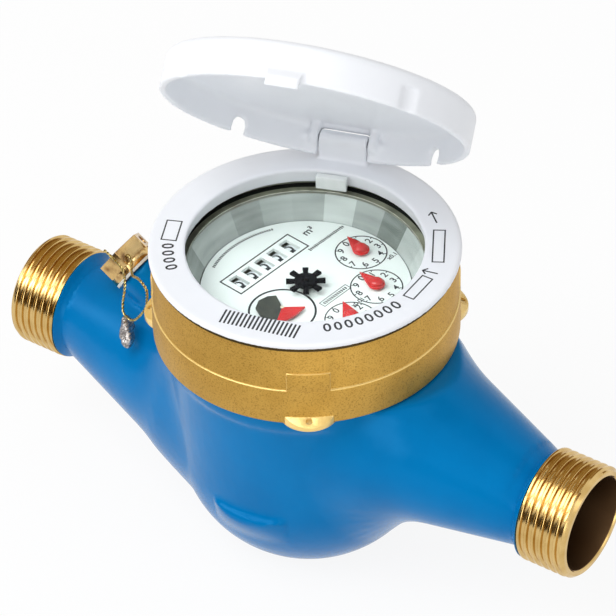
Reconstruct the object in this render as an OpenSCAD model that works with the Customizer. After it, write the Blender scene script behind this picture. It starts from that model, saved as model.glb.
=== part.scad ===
// Multi-jet dry-dial water meter: cast body, screwed head ring, geared register and hinged lid.
// Millimetres, +Z up. The origin is the middle of the foot, and +X follows the water to the outlet.

/* [Cast body] */
// Height of the pipe axis above the foot
axis_height = 41; // [40:0.5:46]
// Length over both threaded ends
body_length = 190; // [186:1:210]
// Diameter over the end threads
thread_d = 33.25; // [32.5:0.05:34]
// Length of each threaded end
thread_length = 14.5; // [12:0.5:16]
// Diameter of the water way at each end
bore_d = 25; // [22:0.5:25.5]
// Diameter of the painted collar behind each thread
collar_d = 35; // [34.2:0.1:37]
// Width of that collar
collar_w = 2.2; // [1.5:0.1:3]
// Diameter of the neck behind the collar
neck_d = 28; // [27.6:0.2:30]
// Widest diameter of the bowl
bowl_d = 75.4; // [74:0.2:77]
// Height of the bowl's widest circle
bowl_mid = 30.6; // [29:0.2:32]
// Reach of the fillet between flare and bowl
fillet = 14; // [10:0.5:16]
// Half angle of the flare from neck to bowl
flare_angle = 15.5; // [14:0.5:17]
// Angle by which the inlet drops and the outlet rises
flare_tilt = 8.5; // [7:0.5:9.5]
// Wall of the bowl
bowl_wall = 3.5; // [3:0.1:4]
// Thickness of the floor above the foot
floor_t = 6; // [5:0.5:7]
// Diameter of the sloping channels inside the flares
channel_d = 20; // [18:0.5:21]
// Distance from the pipe axis up to the head ring
head_rise = 29.1; // [28:0.1:31]
// Width of the raised panel cast on the bowl
panel_w = 22; // [16:1:28]
// Height of the raised panel's upper edge
panel_z = 28; // [24:0.5:30]
// Amount by which the panel stands proud
panel_proud = 2.4; // [1.5:0.1:3]

/* [Head ring] */
// Diameter of the ring's lower band
ring_d = 86.6; // [82:0.1:92]
// Height of the ring
ring_h = 27.1; // [26:0.1:29]
// Height of the lower band
band_h = 12.1; // [10:0.1:14]
// Step between the lower and upper bands
band_step = 0.5; // [0.3:0.1:0.8]
// Wall of the ring outside the screw thread that holds it on the body
ring_wall = 3.3; // [3.1:0.1:3.6]
// Direction of the front sealing lug
lug_turn = -55; // [-60:1:-50]
// Angle from the front lug to each side lug
lug_step = 98; // [85:1:100]
// Radius of a lug's rounded end
lug_r = 8.5; // [7:0.1:9]
// Distance that a lug stands out from the ring
lug_out = 2.9; // [2.4:0.1:3.4]
// Thickness of a lug
lug_t = 3; // [2:0.1:4]
// Diameter of the sealing hole in a lug
lug_hole_d = 1.8; // [1.4:0.1:2]
// Width of the raised key above each lug
key_w = 12; // [8:0.5:15]
// Height of the raised key
key_h = 6.6; // [5:0.1:8]

/* [Shroud and lid] */
// Amount by which the shroud overhangs the ring
shroud_over = 0.3; // [0.1:0.05:0.6]
// Width of the shroud's flange
shroud_w = 10.4; // [10.1:0.1:11]
// Thickness of the shroud's flange
shroud_t = 1.8; // [1.5:0.1:2.5]
// Direction of the hinge
hinge_turn = 108; // [100:1:116]
// Distance of the hinge pin from the lid's outside
hinge_in = 2.8; // [2.5:0.1:2.9]
// Height of the hinge pin above the shroud
hinge_rise = 5.4; // [5.2:0.1:6]
// Width of the hinge lug on the shroud
hinge_w = 14; // [12:0.2:14.2]
// Diameter of the hinge pin
hinge_pin_d = 2; // [1.6:0.1:2.4]
// Amount by which the lid stands back from the shroud's edge
lid_back = 0.1; // [0:0.05:0.4]
// Height of the lid
lid_h = 11.2; // [10.6:0.1:13]
// Wall of the lid
lid_wall = 2; // [1.6:0.1:2.4]
// Angle of the open lid from its closed place
lid_open = 51; // [0:1:95]

/* [Register] */
// Direction in which the dial reads
dial_turn = 82; // [76:1:90]
// Wall of the register cup round the dial
cup_wall = 5.7; // [5.6:0.05:6]
// Thickness of the dial
dial_t = 1; // [0.8:0.1:1.2]
// Thickness of the window
window_t = 3; // [2.5:0.1:3.5]
// Thickness of each gear
gear_t = 1.1; // [0.9:0.05:1.2]
// Height from one gear level to the next
level_step = 1.45; // [1.4:0.05:1.6]
// Diameter of the gear arbors
arbor_d = 1.2; // [1:0.05:1.3]
// Diameter of the number drums
drum_d = 8.4; // [8:0.1:8.6]
// Gap between number drums
drum_gap = 0.4; // [0.3:0.05:1]
// Diameter of the star wheel
star_d = 11; // [9.6:0.2:13]
// Arms of the star wheel
star_count = 8; // [6:1:10]

/* [Measuring chamber] */
// Inside diameter of the measuring chamber
chamber_d = 47; // [44:0.5:51]
// Wall of the measuring chamber
chamber_wall = 2; // [1.6:0.1:2.2]
// Jets round the chamber
jet_count = 8; // [6:1:12]
// Diameter over the impeller's blades
impeller_d = 42; // [38:0.5:43]
// Blades on the impeller
blade_count = 8; // [6:1:10]
// Diameter of the impeller spindle
spindle_d = 3; // [2.6:0.1:3.2]
// Diameter of the coupling magnets
magnet_d = 16; // [14:0.5:18]

/* [Regulating screw] */
// Size across the flats of the plug
plug_af = 14; // [12:0.5:15]
// Height of the plug's hexagon
plug_h = 5; // [4:0.1:6]
// Slope of the plug's axis above the pipe
plug_tilt = 33; // [30:1:38]
// Distance of the hexagon from the neck toward the middle
plug_in = 14.9; // [12.3:0.1:15.3]
// Height of the hexagon above the pipe axis
plug_z = 25.3; // [24.5:0.1:26]

/* [Fits] */
// Radial play of a running fit
run_gap = 0.05; // [0.03:0.01:0.08]
// Gap between neighbouring parts
part_gap = 0.3; // [0.25:0.05:0.4]
// Play between gear teeth
backlash = 0.1; // [0.06:0.01:0.14]

/* [Hidden] */
$fn = 96;
eps = 0.01;

// Heights from the foot up
head_z = axis_height + head_rise;
ring_top = head_z + ring_h;
shroud_top = ring_top + shroud_t;
spigot_h = 11;
body_top = head_z + spigot_h;
seat_drop = 6;
seat_z = head_z - seat_drop;
gasket_t = 1.2;
plate_t = 3;
plate_z = seat_z + gasket_t;
cup_z = plate_z + plate_t;
cup_floor = 1.2;
cup_inside = cup_z + cup_floor;
magnet_h = 3;
magnet_lift = 0.4;
magnet_z = cup_inside + magnet_lift;
lower_t = 1.2;
lower_z = magnet_z + magnet_h + magnet_lift;
level_z = lower_z + lower_t + part_gap;
level_count = 4;
upper_t = 1;
upper_z = level_z + level_count * level_step;
dial_z = upper_z + upper_t;
pointer_lift = 0.8;
pointer_t = 0.7;
pointer_z = dial_z + dial_t + pointer_lift;
star_t = 0.9;
star_z = pointer_z + pointer_t + part_gap;
window_drop = 6.7;
window_z = ring_top - window_drop;
window_gasket_t = 1;
cup_top = window_z - window_gasket_t;

// Radii of the stack in the head
ring_r = ring_d / 2;
ring_thread_r = ring_r - ring_wall;
spigot_r = ring_thread_r - part_gap / 2;
spigot_wall = 3.65;
counterbore_r = spigot_r - spigot_wall;
seat_w = 2.7;
upper_cavity_r = counterbore_r - seat_w;
cup_r = counterbore_r - 2 * part_gap;
cup_rim_w = 3.6;
cup_rim_r = counterbore_r + 1;
cup_mouth_r = cup_rim_r - cup_rim_w;
ring_inner_r = cup_rim_r + 2 * part_gap;
ring_lip = 1.8;
ring_mouth_r = ring_inner_r - ring_lip;
cup_bore_r = cup_r - cup_wall;
dial_d = 2 * (cup_bore_r - part_gap);
collar_depth = 3.4;
shroud_r = ring_r + shroud_over;
shroud_hole_r = shroud_r - shroud_w;
lid_r = shroud_r - lid_back;
hinge_r = lid_r - hinge_in;

// Body and water way
bowl_r = bowl_d / 2;
foot_r = sqrt(bowl_r * bowl_r - bowl_mid * bowl_mid);
rim_in = 4;
rim_r = ring_r - rim_in;
rim_z = head_z - part_gap;
end_x = body_length / 2;
neck_x = end_x - thread_length - collar_w;
cavity_r = bowl_r - bowl_wall;
ledge_t = 3;
ledge_top = axis_height + 1.5;
ledge_r = chamber_d / 2 + chamber_wall + 2 * part_gap;
knee_x = 58;
inlet_drop = 17;
outlet_rise = 12;
channel_end = 31;

// Measuring chamber
flange_r = upper_cavity_r - 2 * part_gap;
flange_t = 2;
chamber_r = chamber_d / 2;
strainer_t = 1;
strainer_r = chamber_r + chamber_wall + part_gap + strainer_t;
bowl_clear = 1;
basket_z = bowl_mid - sqrt(pow(cavity_r - bowl_clear, 2) - strainer_r * strainer_r);
top_z = ledge_top + flange_t;
top_end = plate_z - 4;
top_disc_z = top_end - 4;
top_disc_t = 2;
blade_lift = 7;
blade_z = basket_z + blade_lift;
blade_h = 27;
hub_r = 4;
spindle_top = plate_z - 2;
drive_magnet_h = 4;
drive_magnet_z = top_disc_z + top_disc_t + 2 * part_gap;
pivot_r = 1;
pivot_h = 9;
pivot_bore = 8;

// Hinge
hinge_z = shroud_top + hinge_rise;
knuckle_r = 2.5;
ear_w = 2.6;
lid_lift = 0.6;
lid_z = shroud_top + lid_lift;

// Dial places along the reading direction and up the dial, in hundredths of the dial's diameter
part = dial_d / 100;
pointer_at = part * [[0, 0], [-20.27, -3.38], [-3.55, -31.76], [22.13, -25], [36.49, -2.53]];
pinion_teeth = 10;
idler_pinion_teeth = 9;
wheel_teeth = 30;
stage_module = part * [0.591, 0.845, 0.743, 0.709];
pinion_level = [1, 3, 2, 1];
wheel_level = [2, 1, 3, 2];
stage_side = [-1, 1, 1, 1];
pointer_angle = [0, -47, 62, 85, 76];
pressure_angle = 28;
tooth_top = 0.8;
tooth_foot = 1.1;
counter_v = 26.52 * part;
drum_pitch = 8.784 * part;
drum_w = drum_pitch - drum_gap;
drum_z = dial_z - 0.2 - drum_d / 2;
axle_r = 0.8;
worm_u = 31.93 * part;
worm_r = 1.7;
worm_wave = 0.35;
worm_module = 0.45;
worm_wheel_teeth = 10;
worm_wheel_w = 2;
worm_at = [worm_u, counter_v - worm_wheel_teeth * worm_module / 2 - worm_r - worm_wave];
transfer_teeth = 14;
transfer_module = 0.845 * part;
transfer_z = lower_z - part_gap - gear_t;
post_u = [-3 * drum_pitch + 1 * part, worm_u + 6.76 * part];
post_t = 1.4;
pillar_at = part * [[-40.54, 13.51], [-33.78, -28.72], [13.51, -43.07], [43.07, -16.89]];
pillar_r = 1.4;

// Seal
wire_d = 0.9;
seal_r = 2.5;
seal_h = 10.5;
seal_axis = [0.53, -0.69, -0.5];

function arc(r, from, to, steps, at) =
    [for (i = [0:steps]) let (a = from + (to - from) * i / steps) at + r * [cos(a), sin(a)]];

// Point where circles of radius ra about a and rb about b cross
function crossing(a, b, ra, rb, side) =
    let (d = norm(b - a), x = (d * d + ra * ra - rb * rb) / (2 * d), h = sqrt(ra * ra - x * x),
        along = (b - a) / d)
    a + along * x + side * h * [-along[1], along[0]];

function level_at(level) = level_z + level * level_step;

function mesh_radius(m, teeth_a, teeth_b) = m * (teeth_a + teeth_b) / 2;

function bearing(a, b) = atan2(b[1] - a[1], b[0] - a[0]);

// Turn that sets a gap of the second gear against a tooth of the first
function mesh_turn(a, b, turn_a, teeth_a, teeth_b) =
    let (line = bearing(a, b)) line + 180 + (line - turn_a) * teeth_a / teeth_b + 180 / teeth_b;

function idler_at(k) = crossing(pointer_at[k], pointer_at[k + 1],
    mesh_radius(stage_module[k], pinion_teeth, wheel_teeth),
    mesh_radius(stage_module[k], idler_pinion_teeth, wheel_teeth), stage_side[k]);

function transfer_at() = crossing(pointer_at[4], worm_at,
    mesh_radius(transfer_module, transfer_teeth, transfer_teeth),
    mesh_radius(transfer_module, transfer_teeth, transfer_teeth), -1);

function involute(a) = tan(a) * 180 / PI - a;

function tooth_half(r, m, teeth) =
    let (pitch = m * teeth / 2, base = pitch * cos(pressure_angle))
    90 / teeth - backlash / 4 / pitch * 180 / PI + involute(pressure_angle) - involute(acos(base / r));

function polar(r, a) = r * [cos(a), sin(a)];

function gear_outline(m, teeth) =
    let (pitch = m * teeth / 2, base = pitch * cos(pressure_angle), root = pitch - tooth_foot * m,
        start = max(base, root) + eps, tip = pitch + tooth_top * m,
        steps = [root, start, (start + pitch) / 2, pitch, tip],
        half = [for (r = steps) tooth_half(max(r, start), m, teeth)])
    [for (t = [0:teeth - 1]) let (mid = t * 360 / teeth)
        each concat([for (i = [0:4]) polar(steps[i], mid - half[i])],
            [for (i = [4:-1:0]) polar(steps[i], mid + half[i])])];

module gear(m, teeth, turn, z) {
    translate([0, 0, z])
        rotate([0, 0, turn])
            linear_extrude(gear_t)
                polygon(gear_outline(m, teeth));
}

// Places children in the dial's frame at a point on it
module on_dial(at = [0, 0]) {
    rotate([0, 0, dial_turn])
        translate([at[0], at[1], 0])
            children();
}

module tube(r_out, r_in, z, h) {
    translate([0, 0, z])
        difference() {
            cylinder(r = r_out, h = h);
            translate([0, 0, -eps])
                cylinder(r = r_in, h = h + 2 * eps);
        }
}

module ring_of(count) {
    for (i = [0:count - 1])
        rotate([0, 0, i * 360 / count])
            children();
}

// Cylinder along X between two places on the middle plane
module slanted_bore(r, x_from, z_from, x_to, z_to) {
    run = [x_to - x_from, z_to - z_from];
    translate([x_from, 0, z_from])
        rotate([0, 90 - atan2(run[1], run[0]), 0])
            cylinder(r = r, h = norm(run));
}

flare_reach = neck_x - bowl_r / 3;

function flare_at(s) = neck_d / 2 + s * tan(flare_angle);

// Point at reach s along the flare, turn a round it and radius r, seen from the pipe axis
function flare_point(s, a, r) = let (up = r * cos(a))
    [neck_x - s * cos(flare_tilt) + up * sin(flare_tilt), r * sin(a),
        s * sin(flare_tilt) + up * cos(flare_tilt)];

// Distance of a point from the bowl's skin; hand is 1 at the outlet and -1 at the inlet, drawn upside down
function bowl_gap(p, hand) =
    let (r = norm([p[0], p[1]]), z = hand * p[2] + axis_height - bowl_mid,
        lean = (rim_r - bowl_r) / (rim_z - bowl_mid))
    (z < 0 ? norm([r, z]) : r - lean * z) - bowl_r;

// The fillet dies out where the flare runs along the side of the bowl
fillet_end = 0.94 * flare_reach;
fillet_fade = 0.3 * flare_reach;
fillet_dip = 2;
halvings = 18;

// Distance of that point from flare and bowl with a fillet between them
function soft_gap(s, a, r, hand) =
    let (b = bowl_gap(flare_point(s, a, r), hand), f = (r - flare_at(s)) * cos(flare_angle),
        k = fillet * max(eps, min(1, (fillet_end - s) / fillet_fade)), share = max(0, 1 - abs(b - f) / k))
    min(b, f) - share * share * k / 4;

function soft_radius(s, a, low, high, hand, n) = let (mid = (low + high) / 2)
    n == 0 ? mid : soft_gap(s, a, mid, hand) < 0
        ? soft_radius(s, a, mid, high, hand, n - 1) : soft_radius(s, a, low, mid, hand, n - 1);

function skin_radius(s, a, hand) =
    soft_radius(s, a, flare_at(s) - fillet_dip, flare_at(s) + 2 * fillet, hand, halvings);

// Reach at which the flare's own skin comes within a distance of the bowl
function flare_end(a, gap, low, high, hand, n) = let (mid = (low + high) / 2)
    n == 0 ? mid : bowl_gap(flare_point(mid, a, flare_at(mid)), hand) > gap
        ? flare_end(a, gap, mid, high, hand, n - 1) : flare_end(a, gap, low, mid, hand, n - 1);

// Reach at which the filleted skin comes within a distance of the bowl
function skin_end(a, gap, low, high, hand, n) = let (mid = (low + high) / 2)
    n == 0 ? mid : bowl_gap(flare_point(mid, a, skin_radius(mid, a, hand)), hand) > gap
        ? skin_end(a, gap, mid, high, hand, n - 1) : skin_end(a, gap, low, mid, hand, n - 1);

// Flare from inside the collar to the bowl, which it meets in a fillet and dips into
module flare(hand) {
    turns = 48;
    rows = 9;
    start = -2 * fillet_dip;
    lip = 0.2;
    lines = [for (t = [0:turns - 1]) let (a = (t + 0.5) * 360 / turns,
        from = flare_end(a, fillet, 0, fillet_end, hand, halvings),
        to = skin_end(a, lip, from, fillet_end, hand, halvings),
        end_r = skin_radius(to, a, hand))
        concat([flare_point(start, a, flare_at(start)), flare_point(from, a, flare_at(from))],
            [for (i = [1:rows]) let (s = from + (to - from) * i / rows)
                flare_point(s, a, skin_radius(s, a, hand))],
            [flare_point(to + 2 * fillet_dip, a, end_r - fillet_dip)])];
    count = rows + 3;
    points = [for (line = lines) for (p = line) p];
    mids = [flare_point(start, 0, 0), flare_point(flare_reach, 0, 0)];
    first = len(points);
    walls = [for (t = [0:turns - 1]) for (i = [0:count - 2]) let (n = (t + 1) % turns)
        each [[t * count + i, t * count + i + 1, n * count + i + 1],
            [t * count + i, n * count + i + 1, n * count + i]]];
    ends = [for (t = [0:turns - 1]) let (n = (t + 1) % turns)
        each [[first, t * count, n * count], [first + 1, n * count + count - 1, t * count + count - 1]]];
    polyhedron(concat(points, mids), concat(walls, ends));
}

// One end of the meter along +X, drawn as the outlet with its flare rising to the bowl
module pipe_end(hand) {
    translate([neck_x - eps, 0, 0])
        rotate([0, 90, 0])
            cylinder(r = collar_d / 2, h = collar_w + eps);
    translate([end_x - thread_length - eps, 0, 0])
        rotate([0, 90, 0])
            cylinder(r = thread_d / 2, h = thread_length + eps);
    flare(hand);
}

module bowl_outline(grow) {
    low = asin(-bowl_mid / (bowl_r + grow));
    polygon(concat([[0, 0]], arc(bowl_r + grow, low, 0, 16, [0, bowl_mid]),
        [[rim_r, rim_z], [0, rim_z]]));
}

module cavity() {
    inner_low = asin((floor_t - bowl_mid) / cavity_r);
    rotate_extrude()
        polygon(concat([[0, floor_t]], arc(cavity_r, inner_low, 0, 12, [0, bowl_mid]),
            [[cavity_r, ledge_top - ledge_t], [ledge_r, ledge_top - ledge_t], [ledge_r, ledge_top],
            [upper_cavity_r, ledge_top], [upper_cavity_r, seat_z], [counterbore_r, seat_z],
            [counterbore_r, ring_top], [0, ring_top]]));
}

// Plug frame: +Z runs out along the plug's axis from the middle of its hexagon
module on_plug() {
    translate([-plug_x, 0, axis_height + plug_z])
        rotate([0, plug_tilt - 90, 0])
            children();
}

plug_flange_t = 2;
plug_flange_r = plug_af / 2 + 0.8;
washer_t = 0.8;
boss_r = plug_af / 2 + 0.2;
boss_top = -plug_h / 2 - plug_flange_t - washer_t;
boss_l = 26;
plug_stem_r = 4;
plug_stem_l = 8;
screw_r = 2.5;
screw_l = 11;
plug_roll = 12;
plug_x = neck_x - plug_in;

module panel() {
    intersection() {
        rotate_extrude()
            bowl_outline(panel_proud);
        rotate([0, 0, 6])
            translate([-panel_w / 2, -bowl_r - 2 * panel_proud, panel_z - bowl_mid / 2])
                cube([panel_w, bowl_r, bowl_mid / 2]);
    }
}

module body() {
    color("dodgerblue")
        difference() {
            union() {
                rotate_extrude()
                    bowl_outline(0);
                translate([0, 0, axis_height])
                    pipe_end(1);
                translate([0, 0, axis_height])
                    rotate([0, 180, 0])
                        pipe_end(-1);
                panel();
                on_plug()
                    translate([0, 0, boss_top - boss_l])
                        cylinder(r = boss_r, h = boss_l);
                translate([0, 0, seat_z])
                    cylinder(r = spigot_r, h = body_top - seat_z);
            }
            cavity();
            tube(2 * ring_r, spigot_r, rim_z, ring_h);
            tube(2 * ring_r, upper_cavity_r, body_top, ring_h);
            translate([0, 0, -bowl_r])
                cylinder(r = 2 * bowl_r, h = bowl_r);
            for (x = [-1, 1])
                translate([x * end_x, 0, axis_height])
                    rotate([0, -90 * x, 0])
                        translate([0, 0, -1])
                            cylinder(r = bore_d / 2, h = end_x - knee_x + 1);
            for (x = [-1, 1])
                translate([x * knee_x, 0, axis_height])
                    sphere(r = bore_d / 2);
            slanted_bore(channel_d / 2, -knee_x, axis_height, -channel_end, axis_height - inlet_drop);
            slanted_bore(channel_d / 2, knee_x, axis_height, channel_end, axis_height + outlet_rise);
            on_plug()
                translate([0, 0, boss_top - plug_stem_l])
                    cylinder(r = plug_stem_r + run_gap, h = plug_stem_l + 1);
            on_plug()
                translate([0, 0, boss_top - plug_stem_l - screw_l])
                    cylinder(r = screw_r + run_gap, h = screw_l + 1);
        }
}

lug_angles = [lug_turn - lug_step, lug_turn, lug_turn + lug_step, lug_turn + 180];
lug_hole_r = ring_r + lug_out - lug_hole_d;

module head_ring() {
    upper_r = ring_r - band_step;
    edge = 0.6;
    thread_end = body_top + part_gap - head_z;
    color("goldenrod")
        translate([0, 0, head_z])
            difference() {
                union() {
                    rotate_extrude()
                        polygon([[0, 0], [ring_r - edge, 0], [ring_r, edge], [ring_r, band_h - edge / 2],
                            [ring_r - edge / 2, band_h], [upper_r, band_h], [upper_r, ring_h], [0, ring_h]]);
                    for (a = lug_angles)
                        rotate([0, 0, a]) {
                            translate([ring_r + lug_out - lug_r, 0, 0])
                                cylinder(r = lug_r, h = lug_t);
                            intersection() {
                                tube(ring_r, spigot_r, band_h - edge, key_h);
                                translate([0, -key_w / 2, 0])
                                    cube([2 * ring_r, key_w, ring_h]);
                            }
                        }
                }
                for (a = lug_angles)
                    rotate([0, 0, a])
                        translate([lug_hole_r, 0, -1])
                            cylinder(r = lug_hole_d / 2, h = lug_t + 2, $fn = 24);
                translate([0, 0, -1])
                    cylinder(r = ring_thread_r, h = thread_end + 1);
                cylinder(r = ring_inner_r, h = window_z + window_t + part_gap / 3 - head_z);
                cylinder(r = ring_mouth_r, h = ring_h + 1);
            }
}

module hinge_knuckle(from, width) {
    translate([hinge_r, from, hinge_z])
        rotate([-90, 0, 0])
            cylinder(r = knuckle_r, h = width);
}

module pin_hole(gap) {
    translate([hinge_r, -lid_r, hinge_z])
        rotate([-90, 0, 0])
            cylinder(r = hinge_pin_d / 2 + gap, h = 2 * lid_r);
}

module shroud_ring() {
    round_over = 0.6;
    inner_low_r = shroud_hole_r + 1;
    collar_r = ring_mouth_r - part_gap;
    color("white")
        difference() {
            union() {
                rotate_extrude()
                    polygon(concat([[shroud_hole_r, shroud_top - round_over],
                        [inner_low_r, ring_top - collar_depth], [collar_r, ring_top - collar_depth],
                        [collar_r, ring_top], [shroud_r, ring_top]],
                        arc(round_over, 0, 90, 5, [shroud_r - round_over, shroud_top - round_over]),
                        arc(round_over, 90, 180, 5,
                            [shroud_hole_r + round_over, shroud_top - round_over])));
                rotate([0, 0, hinge_turn]) {
                    hinge_knuckle(-hinge_w / 2, hinge_w);
                    translate([hinge_r - knuckle_r, -hinge_w / 2, shroud_top - shroud_t / 2])
                        cube([2 * knuckle_r, hinge_w, hinge_rise + shroud_t / 2]);
                }
            }
            rotate([0, 0, hinge_turn])
                pin_hole(run_gap);
        }
}

// Lid in its closed place
module closed_lid() {
    edge = 2.4;
    inside_r = lid_r - lid_wall;
    crown = lid_z + lid_h;
    ear_from = hinge_w / 2 + part_gap;
    tab_w = 9.5;
    tab_drop = 2.2;
    tab_t = 1.4;
    tab_from = shroud_r + part_gap;
    scallop_turn = 46;
    scallop_r = 5;
    notch_turn = 42.7;
    notch_r = 2.3;
    notch_h = 2.6;
    difference() {
        union() {
            difference() {
                rotate_extrude()
                    polygon(concat([[0, crown - lid_wall], [inside_r - edge, crown - lid_wall]],
                        arc(edge, 90, 0, 6, [inside_r - edge, crown - lid_wall - edge]),
                        [[inside_r, lid_z], [lid_r, lid_z]],
                        arc(edge, 0, 90, 6, [lid_r - edge, crown - edge]), [[0, crown]]));
                translate([hinge_r - 2 * knuckle_r, -ear_from, 0])
                    cube([lid_r, 2 * ear_from, crown - lid_wall]);
                for (side = [-1, 1])
                    rotate([0, 0, side * notch_turn])
                        translate([lid_r - 3 * lid_wall, 0, lid_z]) {
                            translate([0, 0, notch_h])
                                rotate([0, 90, 0])
                                    cylinder(r = notch_r, h = 4 * lid_wall, $fn = 48);
                            translate([0, -notch_r, -1])
                                cube([4 * lid_wall, 2 * notch_r, notch_h + 1]);
                        }
            }
            for (side = [-1, 1])
                intersection() {
                    translate([0, side * (ear_from + ear_w / 2) - ear_w / 2, 0])
                        union() {
                            hinge_knuckle(0, ear_w);
                            translate([hinge_r - knuckle_r, 0, hinge_z])
                                cube([2 * knuckle_r, ear_w, crown - lid_wall / 2 - hinge_z]);
                        }
                    cylinder(r = lid_r - eps, h = 2 * crown);
                }
            intersection() {
                tube(tab_from + tab_t, lid_r - lid_wall / 2, lid_z - tab_drop, tab_drop + lid_h / 2);
                translate([-2 * lid_r, -tab_w / 2, 0])
                    cube([2 * lid_r, tab_w, 2 * crown]);
            }
        }
        tube(tab_from, lid_r - lid_wall, lid_z - 2 * tab_drop, 2 * tab_drop - eps);
        for (side = [-1, 1])
            rotate([0, 0, 180 + side * scallop_turn])
                translate([lid_r + scallop_r - lid_wall / 2, 0, 0])
                    cylinder(r = scallop_r, h = crown - edge - lid_wall);
        pin_hole(run_gap);
    }
}

// Turns children about the hinge pin to the rest angle
module at_hinge() {
    rotate([0, 0, hinge_turn])
        translate([hinge_r, 0, hinge_z])
            rotate([0, lid_open, 0])
                translate([-hinge_r, 0, -hinge_z])
                    children();
}

module lid() {
    color("whitesmoke")
        at_hinge()
            closed_lid();
}

module hinge_pin() {
    span = hinge_w + 2 * (part_gap + ear_w);
    color("silver")
        rotate([0, 0, hinge_turn])
            translate([hinge_r, -span / 2, hinge_z])
                rotate([-90, 0, 0])
                    cylinder(r = hinge_pin_d / 2, h = span);
}

module window() {
    color("lightcyan", 0.4)
        translate([0, 0, window_z])
            cylinder(r = cup_rim_r, h = window_t);
}

module window_gasket() {
    color("darkolivegreen")
        tube(cup_rim_r, cup_mouth_r, cup_top, window_gasket_t);
}

module register_cup() {
    rim_h = 4;
    slope_z = dial_z + dial_t;
    color("lightgray")
        rotate_extrude()
            polygon([[0, cup_z], [cup_r, cup_z], [cup_r, cup_top - rim_h], [cup_rim_r, cup_top - rim_h],
                [cup_rim_r, cup_top], [cup_mouth_r, cup_top], [cup_bore_r, slope_z],
                [cup_bore_r, cup_inside], [0, cup_inside]]);
}

module counter_opening(z, h) {
    play = 0.5;
    half = 2 * drum_pitch + drum_w / 2 + play;
    wheel_half = worm_module * worm_wheel_teeth / 2 + 2 * play;
    translate([-half, counter_v - drum_d / 2 - play, z])
        cube([2 * half, drum_d + 2 * play, h]);
    translate([0, counter_v - wheel_half, z])
        cube([worm_u + worm_wheel_w, 2 * wheel_half, h]);
}

module arbor_holes(z, h, gap) {
    for (at = concat([for (k = [0:4]) pointer_at[k]], [for (k = [0:3]) idler_at(k)], [worm_at]))
        translate([at[0], at[1], z])
            cylinder(r = arbor_d / 2 + gap, h = h, $fn = 32);
}

module lower_plate() {
    post_w = 3.2;
    color("tan")
        on_dial()
            difference() {
                union() {
                    difference() {
                        translate([0, 0, lower_z])
                            cylinder(r = dial_d / 2, h = lower_t);
                        counter_opening(lower_z - 1, lower_t + 2);
                        arbor_holes(lower_z - 1, lower_t + 2, run_gap);
                    }
                    for (at = pillar_at)
                        translate([at[0], at[1], cup_inside])
                            cylinder(r = pillar_r, h = upper_z - cup_inside, $fn = 32);
                    translate([transfer_at()[0], transfer_at()[1], transfer_z])
                        cylinder(r = arbor_d / 2, h = lower_z - transfer_z + lower_t, $fn = 32);
                    for (u = post_u)
                        translate([u - post_t / 2, counter_v - post_w / 2, lower_z])
                            cube([post_t, post_w, drum_z + 2 * axle_r - lower_z]);
                }
                translate([post_u[0] - post_t, counter_v, drum_z])
                    rotate([0, 90, 0])
                        cylinder(r = axle_r, h = post_u[1] - post_u[0] + 2 * post_t, $fn = 48);
            }
}

module upper_plate() {
    color("tan")
        on_dial()
            difference() {
                translate([0, 0, upper_z])
                    cylinder(r = dial_d / 2, h = upper_t);
                counter_opening(upper_z - 1, upper_t + 2);
                arbor_holes(upper_z - 1, upper_t + 2, run_gap);
            }
}

module dial() {
    slot_w = 5.41 * part;
    slot_l = 5.6;
    color("ivory")
        on_dial()
            difference() {
                translate([0, 0, dial_z])
                    cylinder(r = dial_d / 2, h = dial_t);
                for (i = [-2:2])
                    translate([i * drum_pitch - slot_w / 2, counter_v - slot_l / 2, dial_z - 1])
                        cube([slot_w, slot_l, dial_t + 2]);
                for (k = [0:4])
                    translate([pointer_at[k][0], pointer_at[k][1], dial_z - 1])
                        cylinder(r = arbor_d / 2 + part_gap, h = dial_t + 2, $fn = 32);
            }
}

// Arbor of pointer k with the wheel that drives it and the pinion that it drives
module pointer_gear(k) {
    at = pointer_at[k];
    tip = k == 0 ? star_z + star_t : pointer_z + pointer_t;
    foot = k == 0 ? cup_inside + part_gap : k == 4 ? transfer_z : lower_z;
    on_dial(at) {
        translate([0, 0, foot])
            cylinder(r = arbor_d / 2, h = tip - foot, $fn = 32);
        if (k > 0) {
            from = idler_at(k - 1);
            gear(stage_module[k - 1], wheel_teeth,
                mesh_turn(from, at, 0, idler_pinion_teeth, wheel_teeth), level_at(wheel_level[k - 1]));
        }
        if (k < 4)
            gear(stage_module[k], pinion_teeth, 0, level_at(pinion_level[k]));
        if (k == 4)
            gear(transfer_module, transfer_teeth, 0, transfer_z);
    }
}

// Idler between pointers k and k + 1
module idler_gear(k) {
    at = idler_at(k);
    on_dial(at) {
        translate([0, 0, lower_z])
            cylinder(r = arbor_d / 2, h = upper_z + upper_t - lower_z, $fn = 32);
        gear(stage_module[k], wheel_teeth,
            mesh_turn(pointer_at[k], at, 0, pinion_teeth, wheel_teeth), level_at(pinion_level[k]));
        gear(stage_module[k], idler_pinion_teeth, 0, level_at(wheel_level[k]));
    }
}

module magnet_arbor() {
    color("wheat")
        pointer_gear(0);
}

module follower_magnet() {
    color("dimgray")
        tube(magnet_d / 2, arbor_d / 2, magnet_z, magnet_h);
}

module star_wheel() {
    hub = 3.2;
    arm_w = 1.6;
    color("black")
        on_dial(pointer_at[0])
            translate([0, 0, star_z])
                difference() {
                    union() {
                        cylinder(r = hub, h = star_t);
                        ring_of(star_count)
                            translate([0, -arm_w / 2, 0])
                                cube([star_d / 2, arm_w, star_t]);
                    }
                    translate([0, 0, -1])
                        cylinder(r = arbor_d / 2, h = star_t + 2, $fn = 32);
                }
}

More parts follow.
